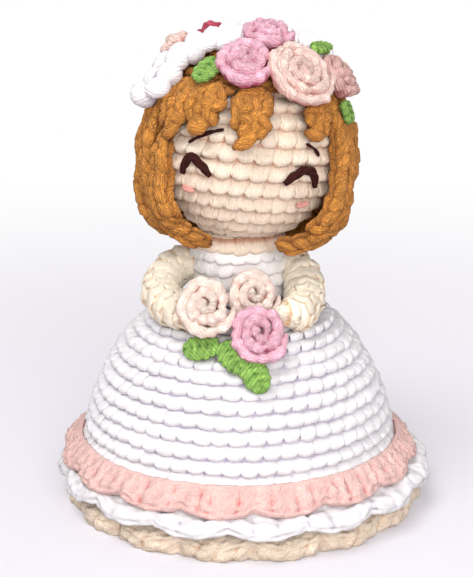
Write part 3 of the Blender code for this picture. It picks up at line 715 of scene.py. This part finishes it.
def tube_faces(rings, around):
    """Faces of a closed tube whose rings of points follow each other in a list."""
    faces = []
    for i in range(rings - 1):
        for k in range(around):
            m = (k + 1) % around
            faces.append((i * around + k, i * around + m, (i + 1) * around + m, (i + 1) * around + k))
    faces.append(tuple(range(around - 1, -1, -1)))
    faces.append(tuple((rings - 1) * around + k for k in range(around)))
    return faces


def cap_count(radius):
    """How many stitches a round of the cap has."""
    return max(6, round(2 * math.pi * radius / cap_stitch_width))


lump_route = [(x, 0, 0.30 - 0.45 * (2 * x) ** 4) for x in (-0.5, -0.46, -0.30, 0.0, 0.30, 0.46, 0.5)]
lump_girths = [(g, 0.9 * g + 0.06) for g in (0.12, 0.27, 0.44, 0.52, 0.44, 0.27, 0.12)]
lump = yarn_lobe("lump", lump_route, lump_girths, 0.005, sides=8)
cap_outline = ball(cap_outside, 0, cap_edge + 3, 30)
cap_seats = rounds(cap_outline, 0.0010, cap_outside * math.radians(8), cap_row, cap_count, 0.0012, shift=0.3)
cap_lining = turned_lining(ball(cap_outside - 0.0012, 0, cap_edge + 2, 12), 48)
cap = crochet("hair_rounds", cap_lining, cap_seats, block, hair_cotton, 51, place=on_neck, depth=0.5)
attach(cap, "head")
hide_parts("hair_cap")

# Along a cord, from the cap to its tip: place, width and thickness, and how far it stands off the head
cord_shares = (
    (0.0, 0.62, 0.50, 0.0), (0.12, 0.92, 0.74, 0.0), (0.30, 1.0, 0.92, 0.0), (0.48, 1.0, 1.0, 0.0),
    (0.63, 1.0, 1.0, 0.24), (0.75, 1.0, 1.0, 0.66), (0.86, 0.98, 1.0, 0.96), (0.95, 0.86, 0.94, 1.0),
    (1.0, 0.60, 0.70, 1.0),
)
# Polar angle of the tip, sweep towards the face and the share of the length where it begins, and how early
# the cord drops, for the cords nearest to the face and then for the rest
cord_tips = (
    (123.0, 12.0, 0.55, 0.0), (135.5, 45.0, 0.66, 0.55), (134.5, 22.0, 0.75, 0.2), (141.0, 4.0, 0.75, 0.0),
    (145.0, 0.0, 0.75, 0.0),
)
left_cheek_start = 84.0
cord_sides = 8
cord_steps = 28
thinnest_cord = 0.0036
thinnest_lump = 0.0022


def hair_cord(name, stations, columns, seed, node, pitch=lump_length, slant=0.45, ragged=0.26, until=0.99,
              knotted=False):
    """A cord on the head from (azimuth, polar, underside, width, thickness): a lining and columns of lumps.

    A knotted cord is a short one: its lumps slant both ways and only cover its outside, and its end is rounded.
    """
    table = np.array(stations)
    places = np.linspace(0, len(stations) - 1, cord_steps)
    values = np.stack([np.interp(places, range(len(stations)), table[:, k]) for k in range(5)], axis=1)
    middles = [on_head(a, p, under + thick / 2) for a, p, under, wide, thick in values]
    lengths = path_lengths(middles)
    points, frames = [], []
    for i, (a, p, under, wide, thick) in enumerate(values):
        run = (middles[min(i + 1, cord_steps - 1)] - middles[max(i - 1, 0)]).normalized()
        out = on_head(a, p, 1)
        side = run.cross(out).normalized()
        out = side.cross(run).normalized()
        frames.append((middles[i], run, side, out, wide, thick))
        for k in range(cord_sides):
            turn = 2 * math.pi * k / cord_sides
            points.append(middles[i] + side * math.cos(turn) * wide * 0.36 + out * math.sin(turn) * thick * 0.33)
    last = round(cord_steps * (until - 0.10)) if knotted else cord_steps
    lining = points[:cord_sides * last], tube_faces(last, cord_sides)
    seats = []
    rows = max(2, round((lengths[-1] + 0.001) / pitch))
    for column in range(columns):
        across = (column + 0.5) / columns - 0.5
        for k in range(rows + 1):
            at = lengths[-1] * (k + (0.25 if column % 2 else 0.75)) / (rows + 0.5)
            if at > lengths[-1] * (until - (0.04 + 0.30 * abs(across)) * knotted):
                continue
            i = min(max(int(np.searchsorted(lengths, at)) - 1, 0), cord_steps - 2)
            share = (at - lengths[i]) / (lengths[i + 1] - lengths[i])
            middle, run, side, out, wide, thick = frames[i]
            middle = middle.lerp(frames[i + 1][0], share)
            tilt = out * (1 - 0.55 * abs(across)) + side * across * 1.5
            lie = run + side * slant * ((-1) ** (k + column) if knotted else -1 if across < 0 else 1)
            if knotted:
                long, girth = pitch * 1.40, max(wide / columns * 1.30, 0.0032)
            else:
                long, girth = pitch * 1.24, max(wide / columns, thinnest_lump) * 1.14
            for face_out in (1,) if knotted else (1, -1):
                facing = tilt if face_out == 1 else -out + side * across
                place = middle + side * across * wide * 0.86 + out * thick * 0.05 * face_out
                seats.append(seat(place, lie, facing, (long, girth, max(thick, thinnest_cord) * 0.62)))
    end = round((cord_steps - 1) * (until - 0.02 * (not knotted)))
    middle, run, side, out, wide, thick = frames[end]
    full = max(thick, thinnest_cord)
    if knotted:
        seats.append(seat(middle + out * thick * 0.10, side + run * 0.5, out, (wide * 0.90, 0.0042, full * 0.68)))
    else:
        seats += [seat(middle, run, way * out, (pitch * 1.1, wide * 0.58, full * 0.60)) for way in (1, -1)]
    spread = 0.6 * min(ragged, 0.3)
    cord = crochet(name, lining, seats, lump, hair_cotton, seed, spread, ragged, place=on_neck)
    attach(cord, "head")
    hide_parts(node)
    return cord


cord_pitch = (360 - 2 * cord_first) / (cord_count - 1)
for i in range(cord_count):
    azimuth = cord_first + cord_pitch * i
    from_face = min(i, cord_count - 1 - i)
    tip, sweep, bend, ease = cord_tips[min(from_face, len(cord_tips) - 1)]
    towards_face = -1 if i < cord_count / 2 else 1
    start = left_cheek_start if i == cord_count - 1 else cord_start
    stations = []
    for along, wide, thick, off in cord_shares:
        polar = start + along * (1 + ease * (1 - along)) * (tip - start)
        turned_by = towards_face * sweep * max(0, (along - bend) / (1 - bend)) ** 1.2
        under = cap_inside + off * cord_fullness
        room = 2 * (under + cord_thickness / 2) * math.sin(math.radians(min(polar, 180 - polar)))
        width = room * math.sin(math.radians(cord_pitch / 2))
        stations.append((azimuth + turned_by, polar, under, wide * width, thick * cord_thickness))
    hair_cord("cord_%02d" % (i + 1), stations, 2, 60 + i, "hair_strand_%02d" % (i + 1))

# Each short cord: its root and tip (azimuth, polar), its width and its columns of stitches
fringe_thickness = 0.0048
fringe = {
    "bang_outer_left": ((-56.0, 50.5), (-50.0, 81.0), 0.0084, 3),
    "bang_left": ((-37.5, 50.5), (-32.5, 76.0), 0.0070, 3),
    "bang_inner_left": ((-26.5, 50.5), (-25.5, 70.0), 0.0044, 2),
    "bang_middle": ((-2.5, 50.5), (-6.0, 81.0), 0.0094, 4),
    "bang_right": ((43.0, 52.0), (32.0, 75.0), 0.0068, 3),
}
fringe_shares = (
    (0.0, 0.80, 0.50), (0.2, 1.0, 0.80), (0.45, 1.0, 1.0), (0.68, 1.0, 0.96), (0.86, 0.76, 0.88), (1.0, 0.50, 0.70),
)
for i, (node, (root, tip, width, columns)) in enumerate(fringe.items()):
    stations = []
    for along, wide, thick in fringe_shares:
        azimuth = root[0] + along * (tip[0] - root[0])
        polar = root[1] + along * (tip[1] - root[1])
        stations.append((azimuth, polar, cap_inside, wide * width, thick * fringe_thickness))
    hair_cord(node.replace("bang", "fringe"), stations, columns, 80 + i, node, pitch=0.0027, slant=0.7, ragged=0.6,
              until=0.90, knotted=True)

# Face: closed eyes and brows sewn in dark brown cotton and a pink stitch on each cheek,
# each a twisted thread through the stitches of the head.
thread_brown = (0.045, 0.010, 0.008)
blush = (0.72, 0.35, 0.30)
thread_sides = 8
thread_turn = 0.011


def twisted(name, route, radius, strands, yarn, node):
    """Strands twisted round each other along a smooth route of points on the head."""
    samples = 8 * (len(route) - 1) + 1
    middle = []
    for i in range(samples):
        at = i * (len(route) - 1) / (samples - 1)
        k = min(int(at), len(route) - 2)
        near = [Vector(route[min(max(k + j, 0), len(route) - 1)]) for j in (-1, 0, 1, 2)]
        middle.append(smoothed(*near, at - k))
    lengths = path_lengths(middle)
    work, uv, painted_shade = new_surface()
    for s in range(strands):
        rings = []
        for i, point in enumerate(middle):
            ahead = middle[min(i + 1, samples - 1)] - middle[max(i - 1, 0)]
            side = ahead.cross(point.normalized()).normalized()
            out = side.cross(ahead).normalized()
            turn = 2 * math.pi * (lengths[i] / thread_turn + s / strands)
            ends = min(1, 0.55 + 2.5 * min(i, samples - 1 - i) / samples)
            offset = radius * 0.5 * ends
            centre = point + side * math.cos(turn) * offset + out * (math.sin(turn) * offset * 0.7)
            girth = radius * 0.62 * ends
            ring = []
            for k in range(thread_sides):
                around = 2 * math.pi * k / thread_sides
                ring.append(work.verts.new(centre + side * math.cos(around) * girth + out * math.sin(around) * girth))
            rings.append(ring)
        for i in range(samples - 1):
            for k in range(thread_sides):
                corners = ((i, k), (i, k + 1), (i + 1, k + 1), (i + 1, k))
                face = work.faces.new([rings[a][b % thread_sides] for a, b in corners])
                for loop, (a, b) in zip(face.loops, corners):
                    loop[uv].uv = (lengths[a] * 1000, b / thread_sides)
        work.faces.new(rings[0])
        work.faces.new(rings[-1])
    mesh = finished_mesh(name, work)
    mesh.transform(on_neck)
    mesh.materials.append(yarn)
    piece = bpy.data.objects.new(name, mesh)
    bpy.context.scene.collection.objects.link(piece)
    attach(piece, "head")
    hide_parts(node)
    return piece


brown_cotton = cotton("brown_cotton", thread_brown, thread_brown, plies=2.0, depth=0.7, fleck=0.15, sheen=0.0)
blush_cotton = cotton("blush_cotton", blush, blush, plies=2.0, depth=0.5)
# Each stitch: its route (azimuth, polar), its thickness, its strands and its yarn
face_stitches = {
    "eye_left": (((-44, 102.5), (-41.5, 95.6), (-37, 91.8), (-30.5, 95.6), (-24.5, 101)), 0.00112, 3, brown_cotton),
    "eye_right": (((19.5, 101.5), (25.5, 96.2), (31.5, 93.2), (38.5, 95.4), (43, 104)), 0.00112, 3, brown_cotton),
    "brow_left": (((-40.5, 84), (-34, 79.5), (-27, 76), (-19.5, 73.5)), 0.00056, 2, brown_cotton),
    "brow_right": (((31.5, 78.5), (35, 79.8), (38.5, 82), (41.5, 85.5)), 0.00046, 2, brown_cotton),
    "cheek_left": (((-45.5, 110.5), (-41, 112), (-36.5, 112.5)), 0.0008, 2, blush_cotton),
    "cheek_right": (((33, 115.5), (37.5, 115.5), (42, 114)), 0.0008, 2, blush_cotton),
}
for node, (route, radius, strands, yarn) in face_stitches.items():
    points = [on_head(azimuth, polar, head_radius + 0.0007) for azimuth, polar in route]
    sewn_thread = twisted(node + "_thread", points, radius, strands, yarn, node)

# Headband: an open arch of white bobbles in two columns, from the left temple over the crown to the right side,
# sewn down on the hair behind the flowers.
band_width = 0.0122
band_thickness = 0.0054
band_circle = 0.0263
band_forward = 0.0141
band_left, band_right = 82.0, 48.0
band_tilt = 25.8
puff_route = [(x, 0, 0.16) for x in (-0.5, -0.46, -0.34, -0.12, 0.12, 0.34, 0.46, 0.5)]
puff_girths = [(g, 0.95 * g) for g in (0.12, 0.25, 0.41, 0.51, 0.51, 0.41, 0.25, 0.12)]
bobble = yarn_lobe("bobble", puff_route, puff_girths, 0.006, sides=12, rib=0.07)


def band_frame(turn_degrees):
    """(point under the band, way along it, way out, way across, thickness) at an angle round the arch."""
    tilt, turn = math.radians(band_tilt), math.radians(turn_degrees)
    upwards = Vector((0, math.sin(tilt), math.cos(tilt)))
    forwards = Vector((0, -math.cos(tilt), math.sin(tilt)))
    way = Vector((math.sin(turn), 0, 0)) + upwards * math.cos(turn)
    along = Vector((math.cos(turn), 0, 0)) - upwards * math.sin(turn)
    out = (forwards * band_forward + way * band_circle).normalized()
    aside = abs(turn_degrees) / band_left
    full = 0.58 + 0.42 * min(1, aside / 0.6)
    under = cap_outside + 0.0003 + aside**2 * (cap_inside + 0.0048 - cap_outside)
    return out * under, along, out, along.cross(out).normalized(), band_thickness * full


band_points, band_seats = [], []
band_steps = 40
for i in range(band_steps + 1):
    at, along, out, side, thick = band_frame(-band_left + 7 + (band_left + band_right - 14) * i / band_steps)
    for k in range(8):
        turn = 2 * math.pi * k / 8
        middle = at + out * thick * 0.36
        aside, rise = side * math.cos(turn) * band_width * 0.34, out * math.sin(turn) * thick * 0.30
        band_points.append(middle + aside + rise)
band_lining = band_points, tube_faces(band_steps + 1, 8)
bobbles = 12
for i in range(bobbles):
    for column in (-1, 1):
        turn_at = -band_left + 5 + (band_left + band_right - 9) * (i + (0.25 if column > 0 else -0.05) + 0.2) / bobbles
        at, along, out, side, thick = band_frame(turn_at)
        aside = turn_at / band_left
        lift = 0.26 + (0.20 * min(1, 2.4 * aside) if aside > 0 else -0.22 * aside**2) + 0.10 * (-1) ** i
        place = at + out * thick * lift + side * column * band_width * 0.20
        size = (0.0061, band_width * 0.52, max(thick, 0.0043) * 1.22)
        band_seats.append(seat(place, along + side * 0.8 * (-1) ** i, out + side * column * 0.4, size))
band = crochet("bobble_band", band_lining, band_seats, bobble, white_cotton, 91, size_spread=0.20, turn_spread=0.6,
               place=on_neck)
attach(band, "head")
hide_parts("headband")

# Flowers and leaves: each rose is one crocheted petal strip, rolled up and sewn through its foot;
# each leaf is worked round a short spine in green cotton.
rose_height = 0.0062
petal_thickness = 0.0023
petal_gap = 0.00055
# The second colour of each rose yarn is painted shade, for the gaps of its roll.
rose_yarns = {
    "pink": cotton("rose_pink_cotton", (0.94, 0.54, 0.66), (0.64, 0.10, 0.24),
                    plies=7.0, twist=0.5, depth=0.9, fleck=0.20, stray=4.0),
    "peach": cotton("rose_peach_cotton", (0.95, 0.71, 0.63), (0.76, 0.26, 0.24),
                     plies=7.0, twist=0.5, depth=0.9, fleck=0.15, stray=4.0),
    "salmon": cotton("rose_salmon_cotton", (0.80, 0.50, 0.46), (0.50, 0.16, 0.15),
                      plies=9.0, twist=0.5, depth=0.9, fleck=0.18),
    "pale": cotton("rose_pale_cotton", (1.0, 0.845, 0.75), (0.96, 0.44, 0.37),
                    plies=7.0, twist=0.5, depth=0.9, fleck=0.10, stray=4.0),
    "red": cotton("bud_red_cotton", (0.66, 0.10, 0.16), (0.28, 0.02, 0.04),
                   plies=9.0, twist=0.5, depth=0.9, fleck=0.18),
}
rose_knobs = {"pink": 0.7, "peach": 0.35, "salmon": 0.7, "pale": 0.5, "red": 1.0}
leaf_thickness = 0.0028
# The leaf yarn's second colour is painted shade, for its spine, grooves and underside.
leaf_cotton = cotton("leaf_cotton", (0.34, 0.61, 0.13), (0.045, 0.17, 0.018), plies=5.0, twist=0.9, depth=1.0,
                     fleck=0.32)


def rose(name, radius, foot, facing, colour, seed, body, node, place=None, rest=None, ruffle=1.0):
    """A petal strip rolled up in layers from a foot: a fat soft rim, a narrow foot, and a swell at every stitch."""
    facing = facing.normalized()
    across = Vector((0, 0, 1)).cross(facing).normalized()
    upright = facing.cross(across)
    chance = np.random.default_rng(seed)
    knobs = ruffle * rose_knobs[colour]
    layers = max(2, round(radius / petal_thickness))
    thick = (radius - petal_gap * (layers - 0.5)) / layers
    pitch = thick + petal_gap
    steps, around = 88, 18
    begin = chance.uniform(0, 1)
    petals = chance.uniform(0.85, 1.15, 24)
    first = round(0.3 * steps)
    rings, painted_shades = [], []
    run = 0.0
    for i in range(first, layers * steps + 1):
        layer, part = divmod(i / steps, 1)
        stepped = min(1, part / 0.3) if layer else 1
        reach = pitch / 2 + pitch * (layer - 1 + stepped)
        turn = 2 * math.pi * part
        spoke = across * math.cos(turn) + upright * math.sin(turn)
        run += 2 * math.pi * reach / steps
        petal_at = run / (0.0062 + 0.0035 * reach / radius) + begin
        petal = petals[int(petal_at) % 24] * (1 - petal_at % 1) + petals[(int(petal_at) + 1) % 24] * (petal_at % 1)
        petal = 1 + ruffle * (petal - 1)
        droop = 1 - ruffle * (1 - abs(math.sin(math.pi * petal_at)) ** 0.6)
        shuffle = petal_at % 1 - 0.5 if petal_at % 1 < 0.88 else 0.38 - 7.3 * (petal_at % 1 - 0.88)
        rim = rose_height * (1 - 0.36 * (reach / radius) ** 2) * (0.86 + 0.14 * droop) * (0.6 + 0.4 * petal)
        reach *= 0.72 + 0.28 * min(1, reach / radius * 1.6)
        reach += pitch * (0.26 * ruffle * shuffle + 0.25 * (petal - 1))
        bead = 0.5 + knobs * (abs(math.sin(math.pi * (run / 0.0026 + 0.4 * layer))) ** 0.7 - 0.5)
        close = min(1, 0.35 + (i - first) / 8, 0.25 + (layers * steps - i) / 14)
        half = pitch * 0.5 * (0.90 + 0.22 * droop + 0.30 * bead) * close
        ring, depths = [], []
        for k in range(around):
            angle = 2 * math.pi * k / around
            side, up = math.cos(angle), math.sin(angle)
            height = rim * (0.50 + 0.50 * math.copysign(abs(up) ** 0.8, up))
            level = height / rim
            fat = 0.60 + 0.40 * min(1, level * 1.5)
            out = reach * (0.86 + 0.14 * level) + side * half * fat
            height += rim * 0.10 * (bead - 0.5) * max(0, up)
            spot = foot + spoke * out + facing * height
            rough = noise.noise(spot * 430) + 0.6 * noise.noise(spot * 950)
            ring.append(spot + (spoke * side + facing * up) * rough * 0.00055)
            # Painted shade: darker low in the roll, between beads and where petals droop, lighter on the tops and on
            # fibre bumps.
            shade_by_level = 1.05 - 1.25 * level if abs(side) > 0.3 else 0.55 - 0.8 * level
            depths.append(shade_by_level - 0.55 * rough + 0.4 * (1 - droop) + 0.65 * (1 - bead) ** 2)
        rings.append(ring)
        painted_shades.append(depths)
    return skinned(name, rings, around, painted_shades, body, node, rose_yarns[colour], place, rest)


def leaf(name, base_at, tip_at, facing, width, thickness, body, node, place=None, rest=None):
    """A leaf worked round a short spine: a plump oval, sunk along the spine, ribbed where its stitches slant off."""
    run = tip_at - base_at
    facing = (facing - run * facing.dot(run) / run.length_squared).normalized()
    side = run.cross(facing).normalized()
    steps, around = 34, 24
    rings, painted_shades = [], []
    for i in range(steps + 1):
        along = i / steps
        wide = (1 - abs(2 * along - 0.95) ** 2.6 / 1.05 ** 2.6) ** 0.5 * (1 - 0.12 * along)
        wide = max(wide, 0.10)
        ring, depths = [], []
        for k in range(around):
            angle = 2 * math.pi * k / around
            x, z = math.cos(angle), math.sin(angle)
            rib = math.cos(2 * math.pi * (run.length * along / 0.0019 - 0.8 * abs(x)))
            spine = math.exp(-((x / 0.22) ** 2)) if z > 0 else 0.0
            rise = z * thickness * 0.5 * wide ** 0.5 * (1 + 0.10 * rib * (z > 0) - 0.35 * spine)
            spot = base_at + run * along + side * x * width * 0.5 * wide * (1 + 0.05 * rib) + facing * rise
            rough = noise.noise(spot * 600) + 0.5 * noise.noise(spot * 1300)
            ring.append(spot + (side * x + facing * z) * rough * 0.0003)
            # Painted shade: darker along the spine and between the ribs, darker on the underside and lighter on the
            # upper side and fibre bumps.
            depths.append(0.42 + 0.45 * spine - 0.32 * rib - 0.25 * z - 0.4 * rough)
        rings.append(ring)
        painted_shades.append(depths)
    return skinned(name, rings, around, painted_shades, body, node, leaf_cotton, place, rest)


head_flowers = {
    "head_rose_pink": (-11.0, 39.5, 0.00728, 0.0, "pink"),
    "head_rose_peach": (27.5, 44.8, 0.00925, 0.00060, "peach"),
    "head_rose_salmon": (66.0, 46.5, 0.00623, 0.00069, "salmon"),
    "head_rose_back_pink": (13.0, 16.0, 0.00668, 0.00092, "pink"),
    "head_rose_small": (-102.0, 41.5, 0.00435, 0.00184, "peach"),
    "head_bud": (-125.0, 28.0, 0.00360, 0.0010, "red"),
}
for i, (node, (azimuth, polar, radius, lift, colour)) in enumerate(head_flowers.items()):
    foot = on_head(azimuth, polar, cap_outside + 0.0003 + lift)
    ruffle = 0.25 if colour == "red" else 1.0
    rose(node.replace("head_", "") + "_roll", radius, foot, foot, colour, 100 + i, "head", node, on_neck, None, ruffle)
head_greens = {
    "head_leaf_left": ((-38.5, 37.0, 0.00174), (-41.0, 53.5, 0.00252), 0.0076),
    "head_leaf_back": ((46.0, 33.0, 0.00600), (72.0, 34.0, 0.00660), 0.0044),
    "head_leaf_right": ((61.0, 59.0, 0.00252), (58.0, 70.0, 0.0028), 0.0053),
}
for node, (one, other, width) in head_greens.items():
    ends = [on_head(azimuth, polar, cap_outside + off) for azimuth, polar, off in (one, other)]
    leaf(node.replace("head_", "") + "_stitches", ends[0], ends[1], ends[0] + ends[1], width, leaf_thickness,
         "head", node, place=on_neck)

# Arms: stuffed tubes in the skin colour worked in rounds of eight, sewn to the shoulders, bent at the elbow
# and resting on the skirt, with the hands at the bouquet.
shoulder_height = 0.0650
arm_radius = 0.0051
hand_reach = 0.0203
hand_height = 0.0566
arm_row = 0.0035
arm_skin = (0.98, 0.90, 0.74)
# Painted shade: the colour the arm cotton takes in its recesses.
arm_painted_shade = (0.80, 0.50, 0.30)
arm_shares = (
    (0.0, 0.0, 0.0, 0.90), (0.45, 0.06, 0.07, 0.96), (0.88, 0.24, 0.36, 1.0), (1.0, 0.50, 0.70, 1.0),
    (0.78, 0.78, 0.90, 0.97), (0.35, 0.96, 1.0, 0.93), (0.0, 1.0, 1.0, 0.86),
)


def on_skirt(co):
    """A soft piece that rests on the skirt is pressed flat there."""
    reach = np.hypot(co[:, 0], co[:, 1])
    floor = bell_height(reach) + 0.0001
    co[:, 2] = np.where(reach < skirt_foot, np.maximum(co[:, 2], floor), co[:, 2])
    return co


arm_cotton = cotton("arm_cotton", arm_skin, arm_painted_shade, depth=0.7, fleck=0.10)


def arm(name, way, elbow_reach, hand_spread, seed, node, body):
    points = []
    for i, (out, forward, down, girth) in enumerate(arm_shares):
        inner = bodice_radius - 0.0002 if i < len(arm_shares) / 2 else hand_spread
        points.append(Vector((
            way * (inner + out * (elbow_reach - inner)), -forward * hand_reach,
            shoulder_height - down * (shoulder_height - hand_height),
        )))
    route, girths = [], []
    for i in range(37):
        at = i * 6 / 36
        k = min(int(at), 5)
        t = at - k
        near = [min(max(k + j, 0), 6) for j in (-1, 0, 1, 2)]
        a, b, c, d = (points[j] for j in near)
        route.append((2 * b + (c - a) * t + (2 * a - 5 * b + 4 * c - d) * t**2 + (3 * b - a - 3 * c + d) * t**3) / 2)
        girths.append(np.interp(at, range(7), [s[3] for s in arm_shares]))
    run = (route[-1] - route[-2]).normalized()
    for reach, narrow in ((0.32, 0.90), (0.58, 0.64), (0.72, 0.32), (0.75, 0.05)):
        route.append(route[36] + run * arm_radius * reach)
        girths.append(girths[36] * narrow)
    lengths = [0.0]
    for one, other in zip(route, route[1:]):
        lengths.append(lengths[-1] + (other - one).length)
    frames = []
    side = Vector((0, 1, 0))
    for i, point in enumerate(route):
        ahead = (route[min(i + 1, len(route) - 1)] - route[max(i - 1, 0)]).normalized()
        side = (side - ahead * side.dot(ahead)).normalized()
        frames.append((point, ahead, side, side.cross(ahead), girths[i] * arm_radius))
    lining, faces, seats = [], [], []
    for point, ahead, one, other, girth in frames:
        for k in range(16):
            turn = 2 * math.pi * k / 16
            lining.append(point + (one * math.cos(turn) + other * math.sin(turn)) * max(girth - 0.0003, 0.0002))
    for i in range(len(frames) - 1):
        for k in range(16):
            m = (k + 1) % 16
            faces.append((i * 16 + k, i * 16 + m, i * 16 + 16 + m, i * 16 + 16 + k))
    faces += [tuple(range(15, -1, -1)), tuple(16 * (len(frames) - 1) + k for k in range(16))]
    rows = round(lengths[36] / arm_row)
    for r in range(rows + 1):
        at = lengths[36] * (r + 0.5) / rows if r < rows else lengths[36] + arm_radius * 0.45
        i = min(int(np.searchsorted(lengths, at)), len(frames) - 1)
        point, ahead, one, other, girth = frames[i]
        count = 8 if r < rows else 6
        for k in range(count):
            turn = 2 * math.pi * (k + 0.25 * r) / count
            out = one * math.cos(turn) + other * math.sin(turn)
            if r == rows:
                out = (out + ahead).normalized()
            along = out.cross(ahead)
            wide = 2 * math.pi * girth / count
            place = point + out * max(girth - 0.0003, 0.0005)
            seats.append(seat(place, along, out, (wide, arm_row * 1.1, 0.00052)))
    made = crochet(name, (lining, faces), seats, block, arm_cotton, seed, turn_spread=0.04, rest=on_skirt,
                   depth=0.25, soft=0.0004)
    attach(made, body)
    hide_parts(node)
    return made


arm("left_sleeve", -1, 0.0207, 0.0112, 121, "arm_left", "left_arm")
arm("right_sleeve", 1, 0.0176, 0.0142, 122, "arm_right", "right_arm")

# Bouquet: two peach roses and a pink one in front of the hands, with three leaves below them on the skirt,
# all sewn to the left hand.
bouquet_tilt = 27.0
tilt = math.radians(bouquet_tilt)
bouquet_way = Vector((0, -math.cos(tilt), math.sin(tilt)))
bouquet = {
    "bouquet_rose_left": ((-0.180, 0.546, 1.042), 0.00773, "pale"),
    "bouquet_rose_top": ((0.098, 0.410, 1.062), 0.00698, "pale"),
    "bouquet_rose_front": ((0.125, 0.636, 0.936), 0.00750, "pink"),
}
for i, (node, ((across, forward, up), radius, colour)) in enumerate(bouquet.items()):
    foot = Vector((across * skirt_foot, -forward * skirt_foot, up * skirt_top))
    rose(node.replace("bouquet_", "posy_"), radius, foot, bouquet_way, colour, 130 + i, "left_arm", node, rest=on_skirt)
greens = {
    "bouquet_leaf_left": ((-0.118, 0.648), (-0.325, 0.626), 0.0073),
    "bouquet_leaf_middle": ((-0.094, 0.648), (0.016, 0.776), 0.0071),
    "bouquet_leaf_front": ((0.040, 0.720), (0.140, 0.832), 0.0075),
}
for node, (one, other, width) in greens.items():
    ends = []
    for across, forward in (one, other):
        reach = math.hypot(across, forward) * skirt_foot
        slope = math.atan2(bell_height(reach - 0.001) - bell_height(reach + 0.001), 0.002)
        lift = (leaf_thickness * 0.68 + 0.0003) / math.cos(slope)
        ends.append(Vector((across * skirt_foot, -forward * skirt_foot, bell_height(reach) + lift)))
    out = Vector((0, -math.sin(slope), math.cos(slope)))
    leaf(node.replace("bouquet_", "posy_"), ends[0], ends[1], out, width, leaf_thickness, "left_arm", node,
         rest=on_skirt)

# Studio: a pale sheet under the doll that fades to white behind it, a broad soft light from the upper left,
# a weak lamp in front, and the camera a little above the doll's head.
sheet_pale = (0.73, 0.705, 0.775)
sheet_bounce = (0.46, 0.42, 0.44)
sheet_near, sheet_far = 0.06, 0.50
sheet_half = 6
window_direction = Vector((0.34, 0.42, -0.98))
window_spread = 38
front_place = (0.12, -0.72, 0.30)
front_aim = Vector((0, 0, 0.06))
camera_place = (-0.0007, -0.340, 0.150)
camera_lens = 80.3
camera_dip = 15.2

sheet = bpy.data.meshes.new("sheet")
sheet_corners = [(x * sheet_half, y * sheet_half, 0) for x, y in ((-1, -1), (1, -1), (1, 1), (-1, 1))]
sheet.from_pydata(sheet_corners, [], [(0, 1, 2, 3)])
floor = bpy.data.objects.new("floor_sheet", sheet)
bpy.context.scene.collection.objects.link(floor)
paper = bpy.data.materials.new("paper")
paper.use_nodes = True
paper_tree = paper.node_tree
paper_shader = paper_tree.nodes["Principled BSDF"]
paper_shader.inputs["Roughness"].default_value = 0.9
paper_shader.inputs["Specular IOR Level"].default_value = 0.1
paper_where = add_node(paper_tree, "ShaderNodeTexCoord").outputs["Object"]
paper_reach = add_node(paper_tree, "ShaderNodeVectorMath", {0: paper_where}, operation="LENGTH").outputs["Value"]
fade_range = {"From Min": sheet_near, "From Max": sheet_far, "To Min": 0.20, "Value": paper_reach}
fade = add_node(paper_tree, "ShaderNodeMapRange", fade_range, interpolation_type="SMOOTHSTEP").outputs[0]
seen_by_camera = add_node(paper_tree, "ShaderNodeLightPath").outputs["Is Camera Ray"]
tones = {0: seen_by_camera, 6: (*sheet_bounce, 1), 7: (*sheet_pale, 1)}
sheet_tone = add_node(paper_tree, "ShaderNodeMix", tones, data_type="RGBA")
paper_tree.links.new(sheet_tone.outputs[2], paper_shader.inputs["Base Color"])
white_share = add_node(paper_tree, "ShaderNodeMath", {0: fade, 1: seen_by_camera}, operation="MULTIPLY").outputs[0]
glow = add_node(paper_tree, "ShaderNodeEmission", {"Color": (1, 1, 1, 1), "Strength": 1.0}).outputs[0]
paper_mix = add_node(paper_tree, "ShaderNodeMixShader", {0: white_share, 1: paper_shader.outputs[0], 2: glow})
paper_tree.links.new(paper_mix.outputs[0], paper_tree.nodes["Material Output"].inputs["Surface"])
sheet.materials.append(paper)

world = bpy.data.worlds.new("studio")
bpy.context.scene.world = world
world.use_nodes = True
air = world.node_tree.nodes["Background"]
air.inputs["Color"].default_value = (0.98, 0.97, 1.0, 1)
air.inputs["Strength"].default_value = 0.46
backdrop = add_node(world.node_tree, "ShaderNodeBackground", {"Color": (1, 1, 1, 1), "Strength": 1.0})
ray = add_node(world.node_tree, "ShaderNodeLightPath").outputs["Is Camera Ray"]
seen = add_node(world.node_tree, "ShaderNodeMixShader", {0: ray, 1: air.outputs[0], 2: backdrop.outputs[0]})
world.node_tree.links.new(seen.outputs[0], world.node_tree.nodes["World Output"].inputs["Surface"])

sky_light = bpy.data.lights.new("soft_window", "SUN")
sky_light.energy = 1.9
sky_light.angle = math.radians(window_spread)
sky_light.color = (1.0, 0.985, 0.965)
window = bpy.data.objects.new("soft_window", sky_light)
window.rotation_euler = window_direction.to_track_quat("-Z", "Y").to_euler()
bpy.context.scene.collection.objects.link(window)
fill_light = bpy.data.lights.new("front_fill", "AREA")
fill_light.size = 0.5
fill_light.energy = 5.2
fill_light.color = (1.0, 0.97, 0.95)
front = bpy.data.objects.new("front_fill", fill_light)
front.location = front_place
front.rotation_euler = (front_aim - front.location).to_track_quat("-Z", "Y").to_euler()
bpy.context.scene.collection.objects.link(front)

camera_data = bpy.data.cameras.new("camera")
camera_data.lens = camera_lens
camera_data.sensor_width = 36
camera_data.sensor_fit = "AUTO"
camera = bpy.data.objects.new("camera", camera_data)
camera.location = camera_place
camera.rotation_euler = (math.radians(90 - camera_dip), 0, 0)
bpy.context.scene.collection.objects.link(camera)
bpy.context.scene.camera = camera
bpy.context.scene.view_settings.view_transform = "Standard"

bpy.context.view_layer.update()
